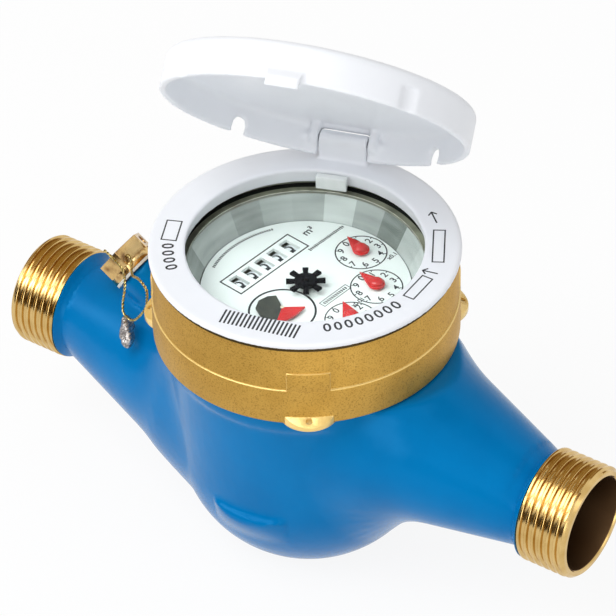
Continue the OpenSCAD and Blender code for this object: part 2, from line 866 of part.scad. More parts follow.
// Drop-shaped hand with a domed head, which points along +X before it is turned
module pointer(k) {
    head = 2.4;
    reach = 6.9;
    dome_h = 0.9;
    dome_r = 2;
    ball = (dome_r * dome_r + dome_h * dome_h) / (2 * dome_h);
    touch = acos(head / reach);
    color("crimson")
        on_dial(pointer_at[k])
            translate([0, 0, pointer_z])
                difference() {
                    union() {
                        cylinder(r = head, h = pointer_t, $fn = 48);
                        rotate([0, 0, pointer_angle[k]])
                            linear_extrude(pointer_t)
                                polygon([[0, 0], polar(head, -touch), [reach, 0], polar(head, touch)]);
                        intersection() {
                            translate([0, 0, pointer_t + dome_h - ball])
                                sphere(r = ball);
                            translate([0, 0, pointer_t - eps])
                                cylinder(r = head, h = 2 * dome_h);
                        }
                    }
                    translate([0, 0, -1])
                        cylinder(r = arbor_d / 2, h = pointer_t + 1, $fn = 32);
                }
}

// Sweep hand: a red blade and a dark half of one notched disc, drawn from the blade's tip
blade_edge = [[6.4, 0], [5, -49], [5.5, -80], [6.2, -105]];
dark_edge = [[5.3, 108], [6.3, 130], [7.2, 155], [7.4, 180], [7, 215], [6.2, 255]];

module sweep_half(edge) {
    on_dial(pointer_at[1])
        translate([0, 0, pointer_z])
            difference() {
                rotate([0, 0, pointer_angle[1]])
                    linear_extrude(pointer_t)
                        polygon(concat([[0, 0]], [for (p = edge) polar(p[0], p[1])]));
                translate([0, 0, -1])
                    cylinder(r = arbor_d / 2, h = pointer_t + 2, $fn = 32);
            }
}

module pointer_1() {
    color("crimson")
        sweep_half(blade_edge);
}

module target_disc() {
    color("slategray")
        sweep_half(dark_edge);
}

module transfer_gear() {
    at = transfer_at();
    color("wheat")
        on_dial(at)
            difference() {
                gear(transfer_module, transfer_teeth,
                    mesh_turn(pointer_at[4], at, 0, transfer_teeth, transfer_teeth), transfer_z);
                translate([0, 0, transfer_z - 1])
                    cylinder(r = arbor_d / 2 + run_gap, h = gear_t + 2, $fn = 32);
            }
}

module worm_arbor() {
    at = transfer_at();
    drive_turn = mesh_turn(pointer_at[4], at, 0, transfer_teeth, transfer_teeth);
    color("wheat")
        on_dial(worm_at) {
            translate([0, 0, transfer_z])
                cylinder(r = arbor_d / 2, h = upper_z + upper_t - transfer_z, $fn = 32);
            gear(transfer_module, transfer_teeth,
                mesh_turn(at, worm_at, drive_turn, transfer_teeth, transfer_teeth), transfer_z);
        }
}

// Worm with a groove that faces the worm wheel's tooth at the height of the drums
module worm() {
    pitch = PI * worm_module;
    turns = 2;
    color("wheat")
        on_dial(worm_at)
            difference() {
                translate([0, 0, drum_z - turns * pitch / 2 + pitch / 4])
                    linear_extrude(turns * pitch, twist = -360 * turns, slices = 10 * turns)
                        translate([worm_wave, 0])
                            circle(r = worm_r, $fn = 12);
                translate([0, 0, lower_z])
                    cylinder(r = arbor_d / 2, h = upper_z - lower_z, $fn = 32);
            }
}

module drum_axle() {
    color("silver")
        on_dial()
            translate([post_u[0] - post_t / 2, counter_v, drum_z])
                rotate([0, 90, 0])
                    cylinder(r = axle_r, h = post_u[1] - post_u[0] + post_t, $fn = 48);
}

// Number drum i, counted from the units drum at the right; the units drum carries the worm wheel
module drum(i) {
    from = (2 - i) * drum_pitch - drum_w / 2;
    sleeve_r = 1.6;
    color("white")
        on_dial()
            translate([from, counter_v, drum_z])
                rotate([0, 90, 0])
                    difference() {
                        union() {
                            cylinder(r = drum_d / 2, h = drum_w);
                            if (i == 0) {
                                cylinder(r = sleeve_r, h = worm_u - from);
                                translate([0, 0, worm_u - from - worm_wheel_w / 2])
                                    rotate([0, 0, 90])
                                        linear_extrude(worm_wheel_w)
                                            polygon(gear_outline(worm_module, worm_wheel_teeth));
                            }
                        }
                        translate([0, 0, -1])
                            cylinder(r = axle_r + run_gap, h = worm_u + drum_pitch * 3, $fn = 48);
                    }
}

module pressure_plate() {
    press_in = chamber_r;
    press_out = chamber_r + chamber_wall;
    color("saddlebrown")
        union() {
            translate([0, 0, plate_z])
                cylinder(r = counterbore_r - part_gap, h = plate_t);
            tube(press_out, press_in, top_end, plate_z - top_end);
        }
}

module head_gasket() {
    color("black")
        tube(counterbore_r - part_gap, upper_cavity_r, seat_z, gasket_t);
}

// Row of slanted slots that send the water round the chamber
module jets(z, h) {
    slot = 4;
    ring_of(jet_count)
        translate([chamber_r * 0.6, -slot / 2, z])
            rotate([0, 0, 35])
                cube([chamber_r, slot, h]);
}

module chamber_top() {
    outlet_h = 6;
    outer_r = chamber_r + chamber_wall;
    color("gainsboro")
        difference() {
            union() {
                tube(outer_r, chamber_r, top_z, top_end - top_z);
                tube(flange_r, chamber_r, top_z, flange_t);
                translate([0, 0, top_disc_z])
                    cylinder(r = chamber_r + eps, h = top_disc_t);
            }
            jets(top_z + flange_t + 1, outlet_h);
            translate([0, 0, top_disc_z - 1])
                cylinder(r = spindle_d / 2 + run_gap, h = top_disc_t + 2, $fn = 48);
        }
}

module jet_basket() {
    jet_h = 7;
    floor_h = 2;
    outer_r = chamber_r + chamber_wall;
    color("gainsboro")
        difference() {
            union() {
                tube(outer_r, chamber_r, basket_z, ledge_top + flange_t - basket_z);
                tube(flange_r, chamber_r, ledge_top, flange_t);
                translate([0, 0, basket_z])
                    cylinder(r = chamber_r + eps, h = floor_h);
                translate([0, 0, basket_z])
                    cylinder(r = hub_r, h = pivot_h / 2, $fn = 48);
            }
            jets(basket_z + floor_h + 2, jet_h);
            translate([0, 0, basket_z - 1])
                cylinder(r = pivot_r, h = pivot_h, $fn = 32);
        }
}

module strainer() {
    slot_count = 24;
    slot_w = 2;
    low = basket_z + 1;
    high = ledge_top - ledge_t - 1;
    margin = 3;
    color("orange")
        difference() {
            tube(strainer_r, strainer_r - strainer_t, low, high - low);
            ring_of(slot_count)
                translate([0, -slot_w / 2, low + margin])
                    cube([2 * strainer_r, slot_w, high - low - 2 * margin]);
        }
}

module impeller() {
    blade_t = 1.2;
    color("powderblue")
        difference() {
            union() {
                translate([0, 0, blade_z - 1])
                    cylinder(r = hub_r, h = blade_h + 2);
                ring_of(blade_count)
                    translate([hub_r / 2, -blade_t / 2, blade_z])
                        cube([impeller_d / 2 - hub_r / 2, blade_t, blade_h]);
            }
            translate([0, 0, basket_z + pivot_h - pivot_bore])
                cylinder(r = pivot_r + run_gap, h = pivot_bore + part_gap, $fn = 32);
            translate([0, 0, blade_z + blade_h / 2])
                cylinder(r = spindle_d / 2, h = blade_h, $fn = 48);
        }
}

module spindle() {
    color("silver")
        translate([0, 0, blade_z + blade_h / 2])
            cylinder(r = spindle_d / 2, h = spindle_top - blade_z - blade_h / 2, $fn = 48);
}

module drive_magnet() {
    color("dimgray")
        tube(magnet_d / 2, spindle_d / 2, drive_magnet_z, drive_magnet_h);
}

module pivot_pin() {
    color("silver")
        translate([0, 0, basket_z])
            cylinder(r = pivot_r, h = pivot_h - 1, $fn = 32);
}

module regulating_screw() {
    slot = 0.8;
    color("goldenrod")
        on_plug()
            translate([0, 0, boss_top - plug_stem_l - screw_l])
                difference() {
                    cylinder(r = screw_r, h = screw_l - part_gap, $fn = 48);
                    translate([-screw_r - 1, -slot / 2, screw_l - 1.5])
                        cube([2 * screw_r + 2, slot, 2]);
                }
}

module plug() {
    hole = 1.4;
    color("gold")
        on_plug()
            difference() {
                union() {
                    translate([0, 0, -plug_h / 2])
                        rotate([0, 0, plug_roll])
                            cylinder(r = plug_af / sqrt(3), h = plug_h, $fn = 6);
                    translate([0, 0, -plug_h / 2 - plug_flange_t])
                        cylinder(r = plug_flange_r, h = plug_flange_t);
                    translate([0, 0, boss_top - plug_stem_l + part_gap])
                        cylinder(r = plug_stem_r, h = plug_stem_l + washer_t + plug_flange_t, $fn = 48);
                }
                rotate([0, 0, plug_roll + 30])
                    translate([-plug_af, 0, 0])
                        rotate([0, 90, 0])
                            cylinder(r = hole, h = 2 * plug_af, $fn = 32);
            }
}

module plug_washer() {
    color("ivory")
        on_plug()
            tube(plug_flange_r, plug_stem_r + run_gap, boss_top, washer_t);
}

// Places of the wire: hexagon, loop over the side lug, and lead seal
plug_at = [-plug_x, 0, plug_z];
loop_side = 5.6;
loop_out = 3.2;
lug_loop = concat(polar(ring_r + loop_out, lug_turn - lug_step - loop_side), [head_rise + lug_t]);
seal_at = lug_loop + [-7.9, 0.2, -17.7];

// Wire from the plug's hole to the lug, to the lead seal, and back to its free tail
wire_route = concat(
    [for (p = [[3.8, -4.2, 5.1], [6.2, -5.6, 6.3], [7.8, -7.4, 3.3]]) plug_at + p],
    [for (p = [[-8.7, 5.4, -0.9], [-3.3, 1.2, 3.1], [-0.1, 0, 1.9], [0.1, 0, -1.5], [-0.5, -0.4, -5.5]])
        lug_loop + p],
    [for (p = [[3.2, -0.6, 6.2], [-2, 1.8, 4.4], [-4.2, 4.2, 5.6]]) seal_at + p],
    [for (p = [[6.8, -9.6, -0.7], [5.4, -8.6, 3.3], [2.4, -8.6, 6.1], [-1, -8.4, 7.7]]) plug_at + p]);
wire_steps = 3;

function blend_point(a, b, c, d, t) = 0.5 * (2 * b + (c - a) * t + (2 * a - 5 * b + 4 * c - d) * t * t
    + (3 * b - a - 3 * c + d) * t * t * t);

function route_point(route, i) = route[max(0, min(len(route) - 1, i))];

function smooth_route(route, steps) = concat([for (i = [0:len(route) - 2]) for (j = [0:steps - 1])
    blend_point(route_point(route, i - 1), route[i], route[i + 1], route_point(route, i + 2), j / steps)],
    [route[len(route) - 1]]);

function unit(v) = v / norm(v);

module wire_tube(path, r) {
    sides = 8;
    last = len(path) - 1;
    rings = [for (i = [0:last]) let (
        along = unit(path[min(i + 1, last)] - path[max(i - 1, 0)]),
        across = unit(cross(along, [0.3, 0.8, -0.52])),
        over = cross(along, across))
        for (s = [0:sides - 1]) path[i] + r * (cos(s * 360 / sides) * across + sin(s * 360 / sides) * over)];
    walls = [for (i = [0:last - 1]) for (s = [0:sides - 1]) let (n = (s + 1) % sides)
        [i * sides + s, i * sides + n, (i + 1) * sides + n, (i + 1) * sides + s]];
    polyhedron(rings, concat(walls, [[for (s = [sides - 1:-1:0]) s]],
        [[for (s = [0:sides - 1]) last * sides + s]]));
}

module seal_wire() {
    color("khaki")
        translate([0, 0, axis_height])
            wire_tube(smooth_route(wire_route, wire_steps), wire_d / 2);
}

module lead_seal() {
    end_r = 1.3;
    color("slategray")
        translate([0, 0, axis_height])
            translate(seal_at)
                rotate([0, acos(seal_axis[2] / norm(seal_axis)), atan2(seal_axis[1], seal_axis[0])])
                    rotate_extrude($fn = 48)
                        polygon([[0, -seal_h / 2], [end_r, -seal_h / 2], [seal_r, -seal_h / 6],
                            [seal_r, seal_h / 6], [end_r, seal_h / 2], [0, seal_h / 2]]);
}

body();
head_ring();
shroud_ring();
lid();
hinge_pin();
window();
window_gasket();
register_cup();
lower_plate();
upper_plate();
dial();
magnet_arbor();
follower_magnet();
star_wheel();
color("wheat") idler_gear(0);  // idler_gear_1
color("wheat") idler_gear(1);  // idler_gear_2
color("wheat") idler_gear(2);  // idler_gear_3
color("wheat") idler_gear(3);  // idler_gear_4
color("wheat") pointer_gear(1);  // pointer_gear_1
color("wheat") pointer_gear(2);  // pointer_gear_2
color("wheat") pointer_gear(3);  // pointer_gear_3
color("wheat") pointer_gear(4);  // pointer_gear_4
pointer_1();
pointer(2);  // pointer_2
pointer(3);  // pointer_3
pointer(4);  // pointer_4
target_disc();
transfer_gear();
worm_arbor();
worm();
drum_axle();
drum(0);  // drum_1
drum(1);  // drum_2
drum(2);  // drum_3
drum(3);  // drum_4
drum(4);  // drum_5
pressure_plate();
head_gasket();
chamber_top();
jet_basket();
strainer();
impeller();
spindle();
drive_magnet();
pivot_pin();
regulating_screw();
plug();
plug_washer();
seal_wire();
lead_seal();
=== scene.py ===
"""Looks of a domestic water meter: enamelled casting, brass head ring, glazed register and hinged lid."""

import logging
import math
from collections.abc import Callable, Iterable
from dataclasses import dataclass, field
from enum import Enum
from functools import cache, cached_property

import bmesh
import bpy
import numpy as np
from bmesh.types import BMEdge, BMesh, BMFace, BMVert
from bpy.types import ID, Curve, Material, Mesh, NodeSocket, NodeTree, Object
from mathutils import Matrix, Quaternion, Vector


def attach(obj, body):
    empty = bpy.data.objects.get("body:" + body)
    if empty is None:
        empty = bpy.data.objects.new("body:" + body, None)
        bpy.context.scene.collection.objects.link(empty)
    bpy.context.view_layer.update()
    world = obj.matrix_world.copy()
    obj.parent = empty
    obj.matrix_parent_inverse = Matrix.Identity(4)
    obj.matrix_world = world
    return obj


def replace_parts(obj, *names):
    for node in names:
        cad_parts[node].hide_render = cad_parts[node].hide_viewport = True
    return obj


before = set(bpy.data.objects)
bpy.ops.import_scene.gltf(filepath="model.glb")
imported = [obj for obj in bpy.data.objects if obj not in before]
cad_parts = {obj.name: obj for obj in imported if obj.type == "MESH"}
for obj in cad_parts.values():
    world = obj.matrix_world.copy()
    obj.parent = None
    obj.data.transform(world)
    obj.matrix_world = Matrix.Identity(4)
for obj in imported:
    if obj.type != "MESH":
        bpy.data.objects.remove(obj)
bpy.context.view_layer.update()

LOG = logging.getLogger("meter")
MM = 0.001
AXIS_Z = 41.0  # height of the pipe's middle, in millimetres
FIGURES = 10  # figures round a drum or a small dial
MERGE = 1e-6  # points closer than this are one, in metres
DRIFT = (0.35, 3.0)  # the noise at which a tint starts to drift, and how fast it does
METER = "meter"
COVER = "cover"
WHITE = (1.0, 1.0, 1.0)

Pair = tuple[float, float]
Point = tuple[float, float, float]
Colour = Point


class Value:
    """One shader socket, with arithmetic that adds Math nodes."""

    def __init__(self, board: "Board", socket: NodeSocket | None) -> None:
        """Wraps an output socket of a board; an end node has none."""
        self.board = board
        self.socket = socket

    def _math(self, operation: str, first: "Value | float", second: "Value | float") -> "Value":
        """Adds a Math node and hands back its result."""
        return self.board.node("ShaderNodeMath", {0: first, 1: second}, {"operation": operation})

    def __add__(self, other: "Value | float") -> "Value":
        """Sum."""
        return self._math("ADD", self, other)

    __radd__ = __add__

    def __sub__(self, other: "Value | float") -> "Value":
        """Difference."""
        return self._math("SUBTRACT", self, other)

    def __rsub__(self, other: float) -> "Value":
        """Reflected difference, so that 1 - mask works."""
        return self._math("SUBTRACT", other, self)

    def __mul__(self, other: "Value | float") -> "Value":
        """Product."""
        return self._math("MULTIPLY", self, other)

    __rmul__ = __mul__

    def __pow__(self, other: float) -> "Value":
        """Power."""
        return self._math("POWER", self, other)

    def above(self, limit: float) -> "Value":
        """One where the value is over a limit, and zero elsewhere."""
        return self._math("GREATER_THAN", self, limit)

    def most(self, other: "Value | float") -> "Value":
        """The larger of two values."""
        return self._math("MAXIMUM", self, other)


class Board:
    """The node tree of one material or of the world."""

    def __init__(self, tree: NodeTree) -> None:
        """Clears a tree to build on."""
        self.tree = tree
        tree.nodes.clear()

    def node(
        self, kind: str, inputs: dict | None = None, settings: dict | None = None, output: int = 0
    ) -> Value:
        """Adds any node.

        Args:
            kind: The node's type.
            inputs: Values or links of its sockets, by name or number.
            settings: Its properties, set before the sockets.
            output: The output socket to hand back.

        Returns:
            The chosen output.
        """
        made = self.tree.nodes.new(kind)
        for name, value in (settings or {}).items():
            setattr(made, name, value)
        for name, value in (inputs or {}).items():
            if isinstance(value, Value):
                self.tree.links.new(value.socket, made.inputs[name])
            elif isinstance(value, tuple) and made.inputs[name].type == "RGBA":
                made.inputs[name].default_value = (*value, 1.0)
            else:
                made.inputs[name].default_value = value
        return Value(self, made.outputs[output] if made.outputs else None)

    @cached_property
    def place(self) -> Value:
        """Object coordinates."""
        return self.node("ShaderNodeTexCoord", output=3)

    def axis(self, index: int) -> Value:
        """One coordinate of the place: 0 for X, 1 for Y, 2 for Z."""
        return self.node("ShaderNodeSeparateXYZ", {0: self.place}, output=index)

    def scaled(self, by: Point) -> Value:
        """The place, multiplied along each axis."""
        return self.node("ShaderNodeVectorMath", {0: self.place, 1: by}, {"operation": "MULTIPLY"})

    def reach(self) -> Value:
        """Distance of the place from the upright axis."""
        level = self.scaled((1.0, 1.0, 0.0))
        return self.node("ShaderNodeVectorMath", {0: level}, {"operation": "LENGTH"}, 1)

    def blend(self, factor: Value | float, low: Value | Colour, high: Value | Colour) -> Value:
        """Mixes two colours: the first at zero, the second at one."""
        return self.node("ShaderNodeMix", {0: factor, 6: low, 7: high}, {"data_type": "RGBA"}, 2)

    def noise(self, grain_mm: float, detail: float = 3.0, place: Value | None = None) -> Value:
        """Noise about 0.5 with blotches of a size, over object coordinates or another place."""
        inputs = {"Vector": place or self.place, "Scale": 1 / (grain_mm * MM), "Detail": detail}
        return self.node("ShaderNodeTexNoise", inputs)

    def end(self, kind: str, shader: Value) -> None:
        """Joins a shader to the output node."""
        self.node(kind, {"Surface": shader})


@dataclass(frozen=True)
class Finish:
    """A surface finish, with the variation that the real one shows."""

    name: str  # the material's name
    tint: Colour  # its main colour
    shade: Colour  # the colour that it drifts to
    patch_mm: float = 9.0  # size of that drift
    rough: Pair = (0.35, 0.45)  # lowest and highest roughness
    metal: float = 0.0  # metallic value
    coat: float = 0.0  # weight of a clear coat
    relief: tuple[Pair, ...] = ()  # grain and depth of each layer of bumps, in millimetres
    fixed: tuple[tuple[str, float | Colour], ...] = ()  # other shader sockets and their constant values

    def colour(self, board: Board) -> Value:
        """The colour over the surface, which drifts from the tint to the shade."""
        start, gain = DRIFT
        return board.blend((board.noise(self.patch_mm) - start) * gain, self.tint, self.shade)

    def roughness(self, board: Board) -> Value:
        """The roughness over the surface."""
        low, high = self.rough
        return board.noise(self.patch_mm / 3) * (high - low) + low

    def metallic(self, board: Board) -> Value | float:
        """The metallic value over the surface."""
        return self.metal

    def bumps(self, board: Board) -> Value | None:
        """Chains the relief layers.

        Args:
            board: The material's nodes.

        Returns:
            The normal, or nothing for a smooth finish.
        """
        normal: Value | None = None
        for grain, depth in self.relief:
            links: dict = {"Strength": 1.0, "Distance": depth * MM, "Height": board.noise(grain, 2.0)}
            if normal is not None:
                links["Normal"] = normal
            normal = board.node("ShaderNodeBump", links)
        return normal

    def shader(self, board: Board) -> Value:
        """Builds the finish.

        Args:
            board: The material's nodes.

        Returns:
            The shader.
        """
        sockets: dict = {
            "Base Color": self.colour(board),
            "Roughness": self.roughness(board),
            "Metallic": self.metallic(board),
            "Coat Weight": self.coat,
            **dict(self.fixed),
        }
        normal = self.bumps(board)
        if normal is not None:
            sockets["Normal"] = normal
        return board.node("ShaderNodeBsdfPrincipled", sockets)


@dataclass(frozen=True)
class Speckled(Finish):
    """A finish with fine grains of a third colour, as on sand-cast or sintered metal."""

    grain: Colour = (0.3, 0.2, 0.05)  # colour of the grains
    grain_mm: float = 0.5  # their size
    share: float = 0.5  # how much of them shows

    def colour(self, board: Board) -> Value:
        """The drifting colour with grains on it."""
        spots = (board.noise(self.grain_mm, 2.0) - 0.5).most(0.0) * (4.0 * self.share)
        return board.blend(spots, super().colour(board), self.grain)


@dataclass(frozen=True)
class RubbedAndHighlit(Speckled):
    """A sand-cast finish whose outermost edges are worn smooth and carry a painted highlight, with a painted
    shadow in the joint under the next ring.
    """

    smooth_r: float = 43.45  # distance from the upright axis beyond which it is smooth and carries a painted highlight, in millimetres
    step_r: Pair = (42.87, 43.25)  # radii between which a step's edge is smooth and carries a painted highlight too, in millimetres
    step_z: float = 80.0  # height from which that holds, in millimetres
    joint_shadow_z: float = 95.95  # height from which the joint under the next ring is darkened as a painted shadow, in millimetres
    smooth_rough: float = 0.24  # roughness of the smooth edges
    worn_highlight_tint: Colour = (0.88, 0.62, 0.21)  # colour of the smooth edges: worn brass made brighter as a painted highlight
    worn_highlight_metal: float = 0.4  # metallic value of the smooth edges, lowered so that they look brighter as part of the painted highlight
    joint_shadow_tint: Colour = (0.07, 0.045, 0.015)  # colour of the painted shadow in the joint

    def rubbed_and_highlit(self, board: Board) -> Value:
        """Finds the smooth edges, which carry a painted highlight.

        Args:
            board: The material's nodes.

        Returns:
            One on the smooth edges and zero elsewhere.
        """
        reach = board.reach()
        low, high = (r * MM for r in self.step_r)
        step = reach.above(low) * (high - reach).above(0.0) * board.axis(2).above(self.step_z * MM)
        return reach.above(self.smooth_r * MM).most(step)

    def colour(self, board: Board) -> Value:
        """The cast colour, with a painted highlight on the smooth edges and a painted shadow in the joint.
        """
        with_highlight = board.blend(self.rubbed_and_highlit(board), super().colour(board), self.worn_highlight_tint)
        # Above the joint's height the colour turns dark: a painted shadow under the shroud's flange.
        return board.blend(board.axis(2).above(self.joint_shadow_z * MM), with_highlight, self.joint_shadow_tint)

    def metallic(self, board: Board) -> Value:
        """The casting's metallic value, and a lower one on the smooth edges, which makes them look brighter
        as part of their painted highlight.
        """
        return self.rubbed_and_highlit(board) * (self.worn_highlight_metal - self.metal) + self.metal

    def roughness(self, board: Board) -> Value:
        """The cast roughness, and a lower one on the smooth edges."""
        cast = super().roughness(board)
        return cast + (self.smooth_rough - cast) * self.rubbed_and_highlit(board)


@dataclass(frozen=True)
class Bored(Finish):
    """A turned finish along X with a dull, darker bore."""

    axis_z: float = AXIS_Z  # height of the bore's middle, in millimetres
    bore_r: float = 14.1  # radius within which it is dull, in millimetres
    dull: Colour = (0.15, 0.085, 0.04)  # colour of the bore
    dull_rough: float = 0.42  # roughness of the bore

    def outside(self, board: Board) -> Value:
        """One outside the bore and zero in it."""
        y, z = board.axis(1), board.axis(2) - self.axis_z * MM
        return (y * y + z * z).above((self.bore_r * MM) ** 2)

    def colour(self, board: Board) -> Value:
        """The turned colour, and the bore's own."""
        return board.blend(self.outside(board), self.dull, super().colour(board))

    def roughness(self, board: Board) -> Value:
        """The turned roughness, and the bore's own."""
        return (super().roughness(board) - self.dull_rough) * self.outside(board) + self.dull_rough


@dataclass(frozen=True)
class Ringed(Finish):
    """A seal with a dark outer ring, which is a painted shadow where the shroud's edge overhangs it, and a
    dark inner lip.
    """

    dark: Colour = (0.035, 0.036, 0.028)  # colour of the painted shadow ring and of the lip
    ring_r: float = 35.3  # radius from which the painted shadow ring is dark, in millimetres
    lip_z: float = 90.3  # height under which the lip is dark, in millimetres
    lip_share: float = 0.75  # how dark the lip is beside the ring

    def colour(self, board: Board) -> Value:
        """The drifting colour between the painted shadow ring and the dark lip."""
        lip = (self.lip_z * MM - board.axis(2)).above(0.0) * self.lip_share
        return board.blend(board.reach().above(self.ring_r * MM).most(lip), super().colour(board), self.dark)


@dataclass(frozen=True)
class Clear(Finish):
    """A clear pane with a ground edge, which lets light through to what lies under it."""

    haze: float = 0.02  # highest roughness of the pane
    edge_r: float = 37.0  # radius of the ground edge, in millimetres
    ground: Colour = (0.36, 0.37, 0.30)  # colour of the ground edge
    ground_shade: Colour = (0.16, 0.165, 0.125)  # the colour that it drifts to
    ground_mm: float = 6.0  # size of that drift
    ground_rough: float = 0.35  # roughness of the ground edge

    def shader(self, board: Board) -> Value:
        """Builds the finish.

        Args:
            board: The material's nodes.

        Returns:
            The shader.
        """
        glass = {
            "Base Color": self.colour(board),
            "Roughness": board.noise(self.patch_mm) * self.haze,
            "Transmission Weight": 1.0,
            **dict(self.fixed),
        }
        pane = board.node("ShaderNodeBsdfPrincipled", glass)
        clear = board.node("ShaderNodeBsdfTransparent", {"Color": self.tint})
        shadow = board.node("ShaderNodeLightPath", output=1)
        sheet = board.node("ShaderNodeMixShader", {0: shadow, 1: pane, 2: clear})
        drift = board.noise(self.ground_mm) * 2.0 - 0.5
        frost = {
            "Base Color": board.blend(drift, self.ground, self.ground_shade),
            "Roughness": self.ground_rough,
        }
        edge = board.node("ShaderNodeBsdfPrincipled", frost)
        at_edge = board.reach().above(self.edge_r * MM)
        return board.node("ShaderNodeMixShader", {0: at_edge, 1: sheet, 2: edge})


@dataclass(frozen=True)
class Panelled(Finish):
    """A clear wall with painted reflections: lighter and darker upright panels and streaks."""

    panels: float = 22.0  # panels in one turn
    light: Colour = (0.8, 0.85, 0.83)  # colour of the brightest painted reflection on a panel
    streak: Point = (0.12, 0.12, 1.0)  # how the painted reflection streaks are drawn out along each axis
    streak_mm: float = 2.6  # their size

    def colour(self, board: Board) -> Value:
        """The drifting colour with a painted reflection level for each panel.

        Args:
            board: The material's nodes.

        Returns:
            The colour.
        """
        turn = board.node("ShaderNodeMath", {0: board.axis(1), 1: board.axis(0)}, {"operation": "ARCTAN2"})
        number = board.node("ShaderNodeMath", {0: turn * (self.panels / math.tau)}, {"operation": "FLOOR"})
        level = board.node("ShaderNodeTexWhiteNoise", {"W": number}, {"noise_dimensions": "1D"})
        streaks = board.noise(self.streak_mm, 1.0, board.scaled(self.streak)) * 0.7 - 0.28
        return board.blend(level**1.6 * 0.85 + streaks, super().colour(board), self.light)


ENAMEL = Finish(
    "blue_enamel", (0.0, 0.168, 0.44), (0.0, 0.146, 0.395), 22.0, (0.18, 0.28),
    relief=((9.0, 0.12), (2.2, 0.035)),
    fixed=(("Specular IOR Level", 0.28), ("Specular Tint", (0.12, 0.55, 1.0))),
)
# Its smooth edges carry a painted highlight, and the joint at its top carries a painted shadow.
CAST_BRASS = RubbedAndHighlit(
    "sand_cast_brass", (0.60, 0.36, 0.076), (0.54, 0.315, 0.06), 9.0, (0.44, 0.58), 0.85,
    relief=((2.4, 0.02), (0.45, 0.05)), grain=(0.30, 0.16, 0.028), grain_mm=0.45, share=0.85,
)
TURNED_BRASS = Speckled(
    "turned_brass", (0.72, 0.50, 0.22), (0.58, 0.38, 0.15), 5.0, (0.15, 0.24), 1.0,
    relief=((0.6, 0.004),), grain=(0.24, 0.13, 0.055), grain_mm=4.0, share=1.3,
)
PIPE_BRASS = Bored(
    "pipe_brass", (0.70, 0.49, 0.20), (0.58, 0.38, 0.13), 5.0, (0.14, 0.22), 1.0, relief=((0.6, 0.004),)
)
WHITE_PLASTIC = Finish(
    "white_moulding", (0.86, 0.88, 0.92), (0.84, 0.86, 0.90), 14.0, (0.30, 0.40),
    relief=((0.7, 0.004), (12.0, 0.03)),
)
GLASS = Clear(
    "window_glass", (0.95, 0.98, 0.97), (0.96, 0.98, 0.98),
    fixed=(("IOR", 1.12), ("Specular IOR Level", 0.12)),
)
RUBBER = Speckled(
    "dark_rubber", (0.15, 0.15, 0.095), (0.11, 0.11, 0.07), 3.0, (0.5, 0.7),
    relief=((0.4, 0.01),), grain=(0.1, 0.1, 0.07),
)
# Its tint is lighter than the seal's own colour: painted light that makes up for the shade in the narrow gap
# under the shroud.
WINDOW_SEAL = Ringed(
    "window_seal", (0.80, 0.80, 0.68), (0.52, 0.52, 0.42), 5.0, (0.3, 0.45), relief=((0.4, 0.01),)
)
# Its lighter and darker panels and streaks are painted reflections.
CUP_PLASTIC = Panelled(
    "cup_moulding", (0.23, 0.265, 0.245), (0.12, 0.14, 0.125), 13.0, (0.10, 0.18),
    coat=0.3, relief=((8.0, 0.03),), light=(0.62, 0.67, 0.65),
)
TAB_PLASTIC = Finish(
    "clear_tab", (0.84, 0.88, 0.87), (0.76, 0.81, 0.79), 5.0, (0.06, 0.12), coat=0.8, relief=((3.0, 0.05),)
)
GEAR_PLASTIC = Finish(
    "gear_moulding", (0.72, 0.67, 0.54), (0.66, 0.60, 0.47), 4.0, (0.4, 0.5), relief=((0.6, 0.006),)
)
DIAL_FACE = Finish(
    "dial_face", (0.88, 0.93, 0.91), (0.85, 0.90, 0.88), 10.0, (0.42, 0.5), relief=((0.5, 0.002),)
)
INK = Finish("black_ink", (0.012, 0.014, 0.018), (0.02, 0.022, 0.026), 2.0, (0.4, 0.5))
BLACK_PLASTIC = Finish(
    "black_moulding", (0.003, 0.003, 0.004), (0.005, 0.005, 0.006), 3.0, (0.45, 0.55),
    relief=((0.5, 0.006),), fixed=(("Specular IOR Level", 0.1),),
)
RED_PLASTIC = Finish(
    "red_moulding", (0.62, 0.018, 0.018), (0.52, 0.012, 0.012), 3.0, (0.12, 0.2),
    coat=0.4, relief=((0.8, 0.006),),
)
TARGET_METAL = Finish(
    "target_metal", (0.085, 0.09, 0.07), (0.05, 0.055, 0.05), 3.0, (0.35, 0.5), 0.4, relief=((0.3, 0.004),)
)
DRUM_PLASTIC = Finish(
    "drum_moulding", (0.84, 0.88, 0.90), (0.80, 0.84, 0.86), 3.0, (0.35, 0.45), relief=((0.5, 0.004),)
)
STEEL = Finish(
    "drawn_steel", (0.52, 0.53, 0.55), (0.45, 0.46, 0.48), 2.0, (0.25, 0.38), 1.0, relief=((0.3, 0.004),)
)
SINTER = Speckled(
    "sintered_magnet", (0.08, 0.08, 0.09), (0.06, 0.06, 0.07), 3.0, (0.5, 0.65), 0.5,
    grain=(0.14, 0.14, 0.15),
)
CHAMBER_PLASTIC = Finish(
    "chamber_moulding", (0.6, 0.64, 0.64), (0.55, 0.59, 0.59), 8.0, (0.38, 0.48), relief=((0.7, 0.006),)
)
PLATE_BRASS = Finish(
    "machined_brass", (0.62, 0.42, 0.15), (0.55, 0.36, 0.12), 5.0, (0.28, 0.4), 1.0, relief=((0.5, 0.006),)
)
FIBRE = Speckled(
    "washer_fibre", (0.72, 0.72, 0.66), (0.66, 0.65, 0.58), 2.0, (0.6, 0.75),
    relief=((0.4, 0.01),), grain=(0.5, 0.48, 0.4),
)
WIRE_METAL = Finish(
    "seal_wire_metal", (0.60, 0.47, 0.17), (0.40, 0.32, 0.14), 1.4, (0.25, 0.38), 1.0,
    relief=((0.25, 0.006),),
)
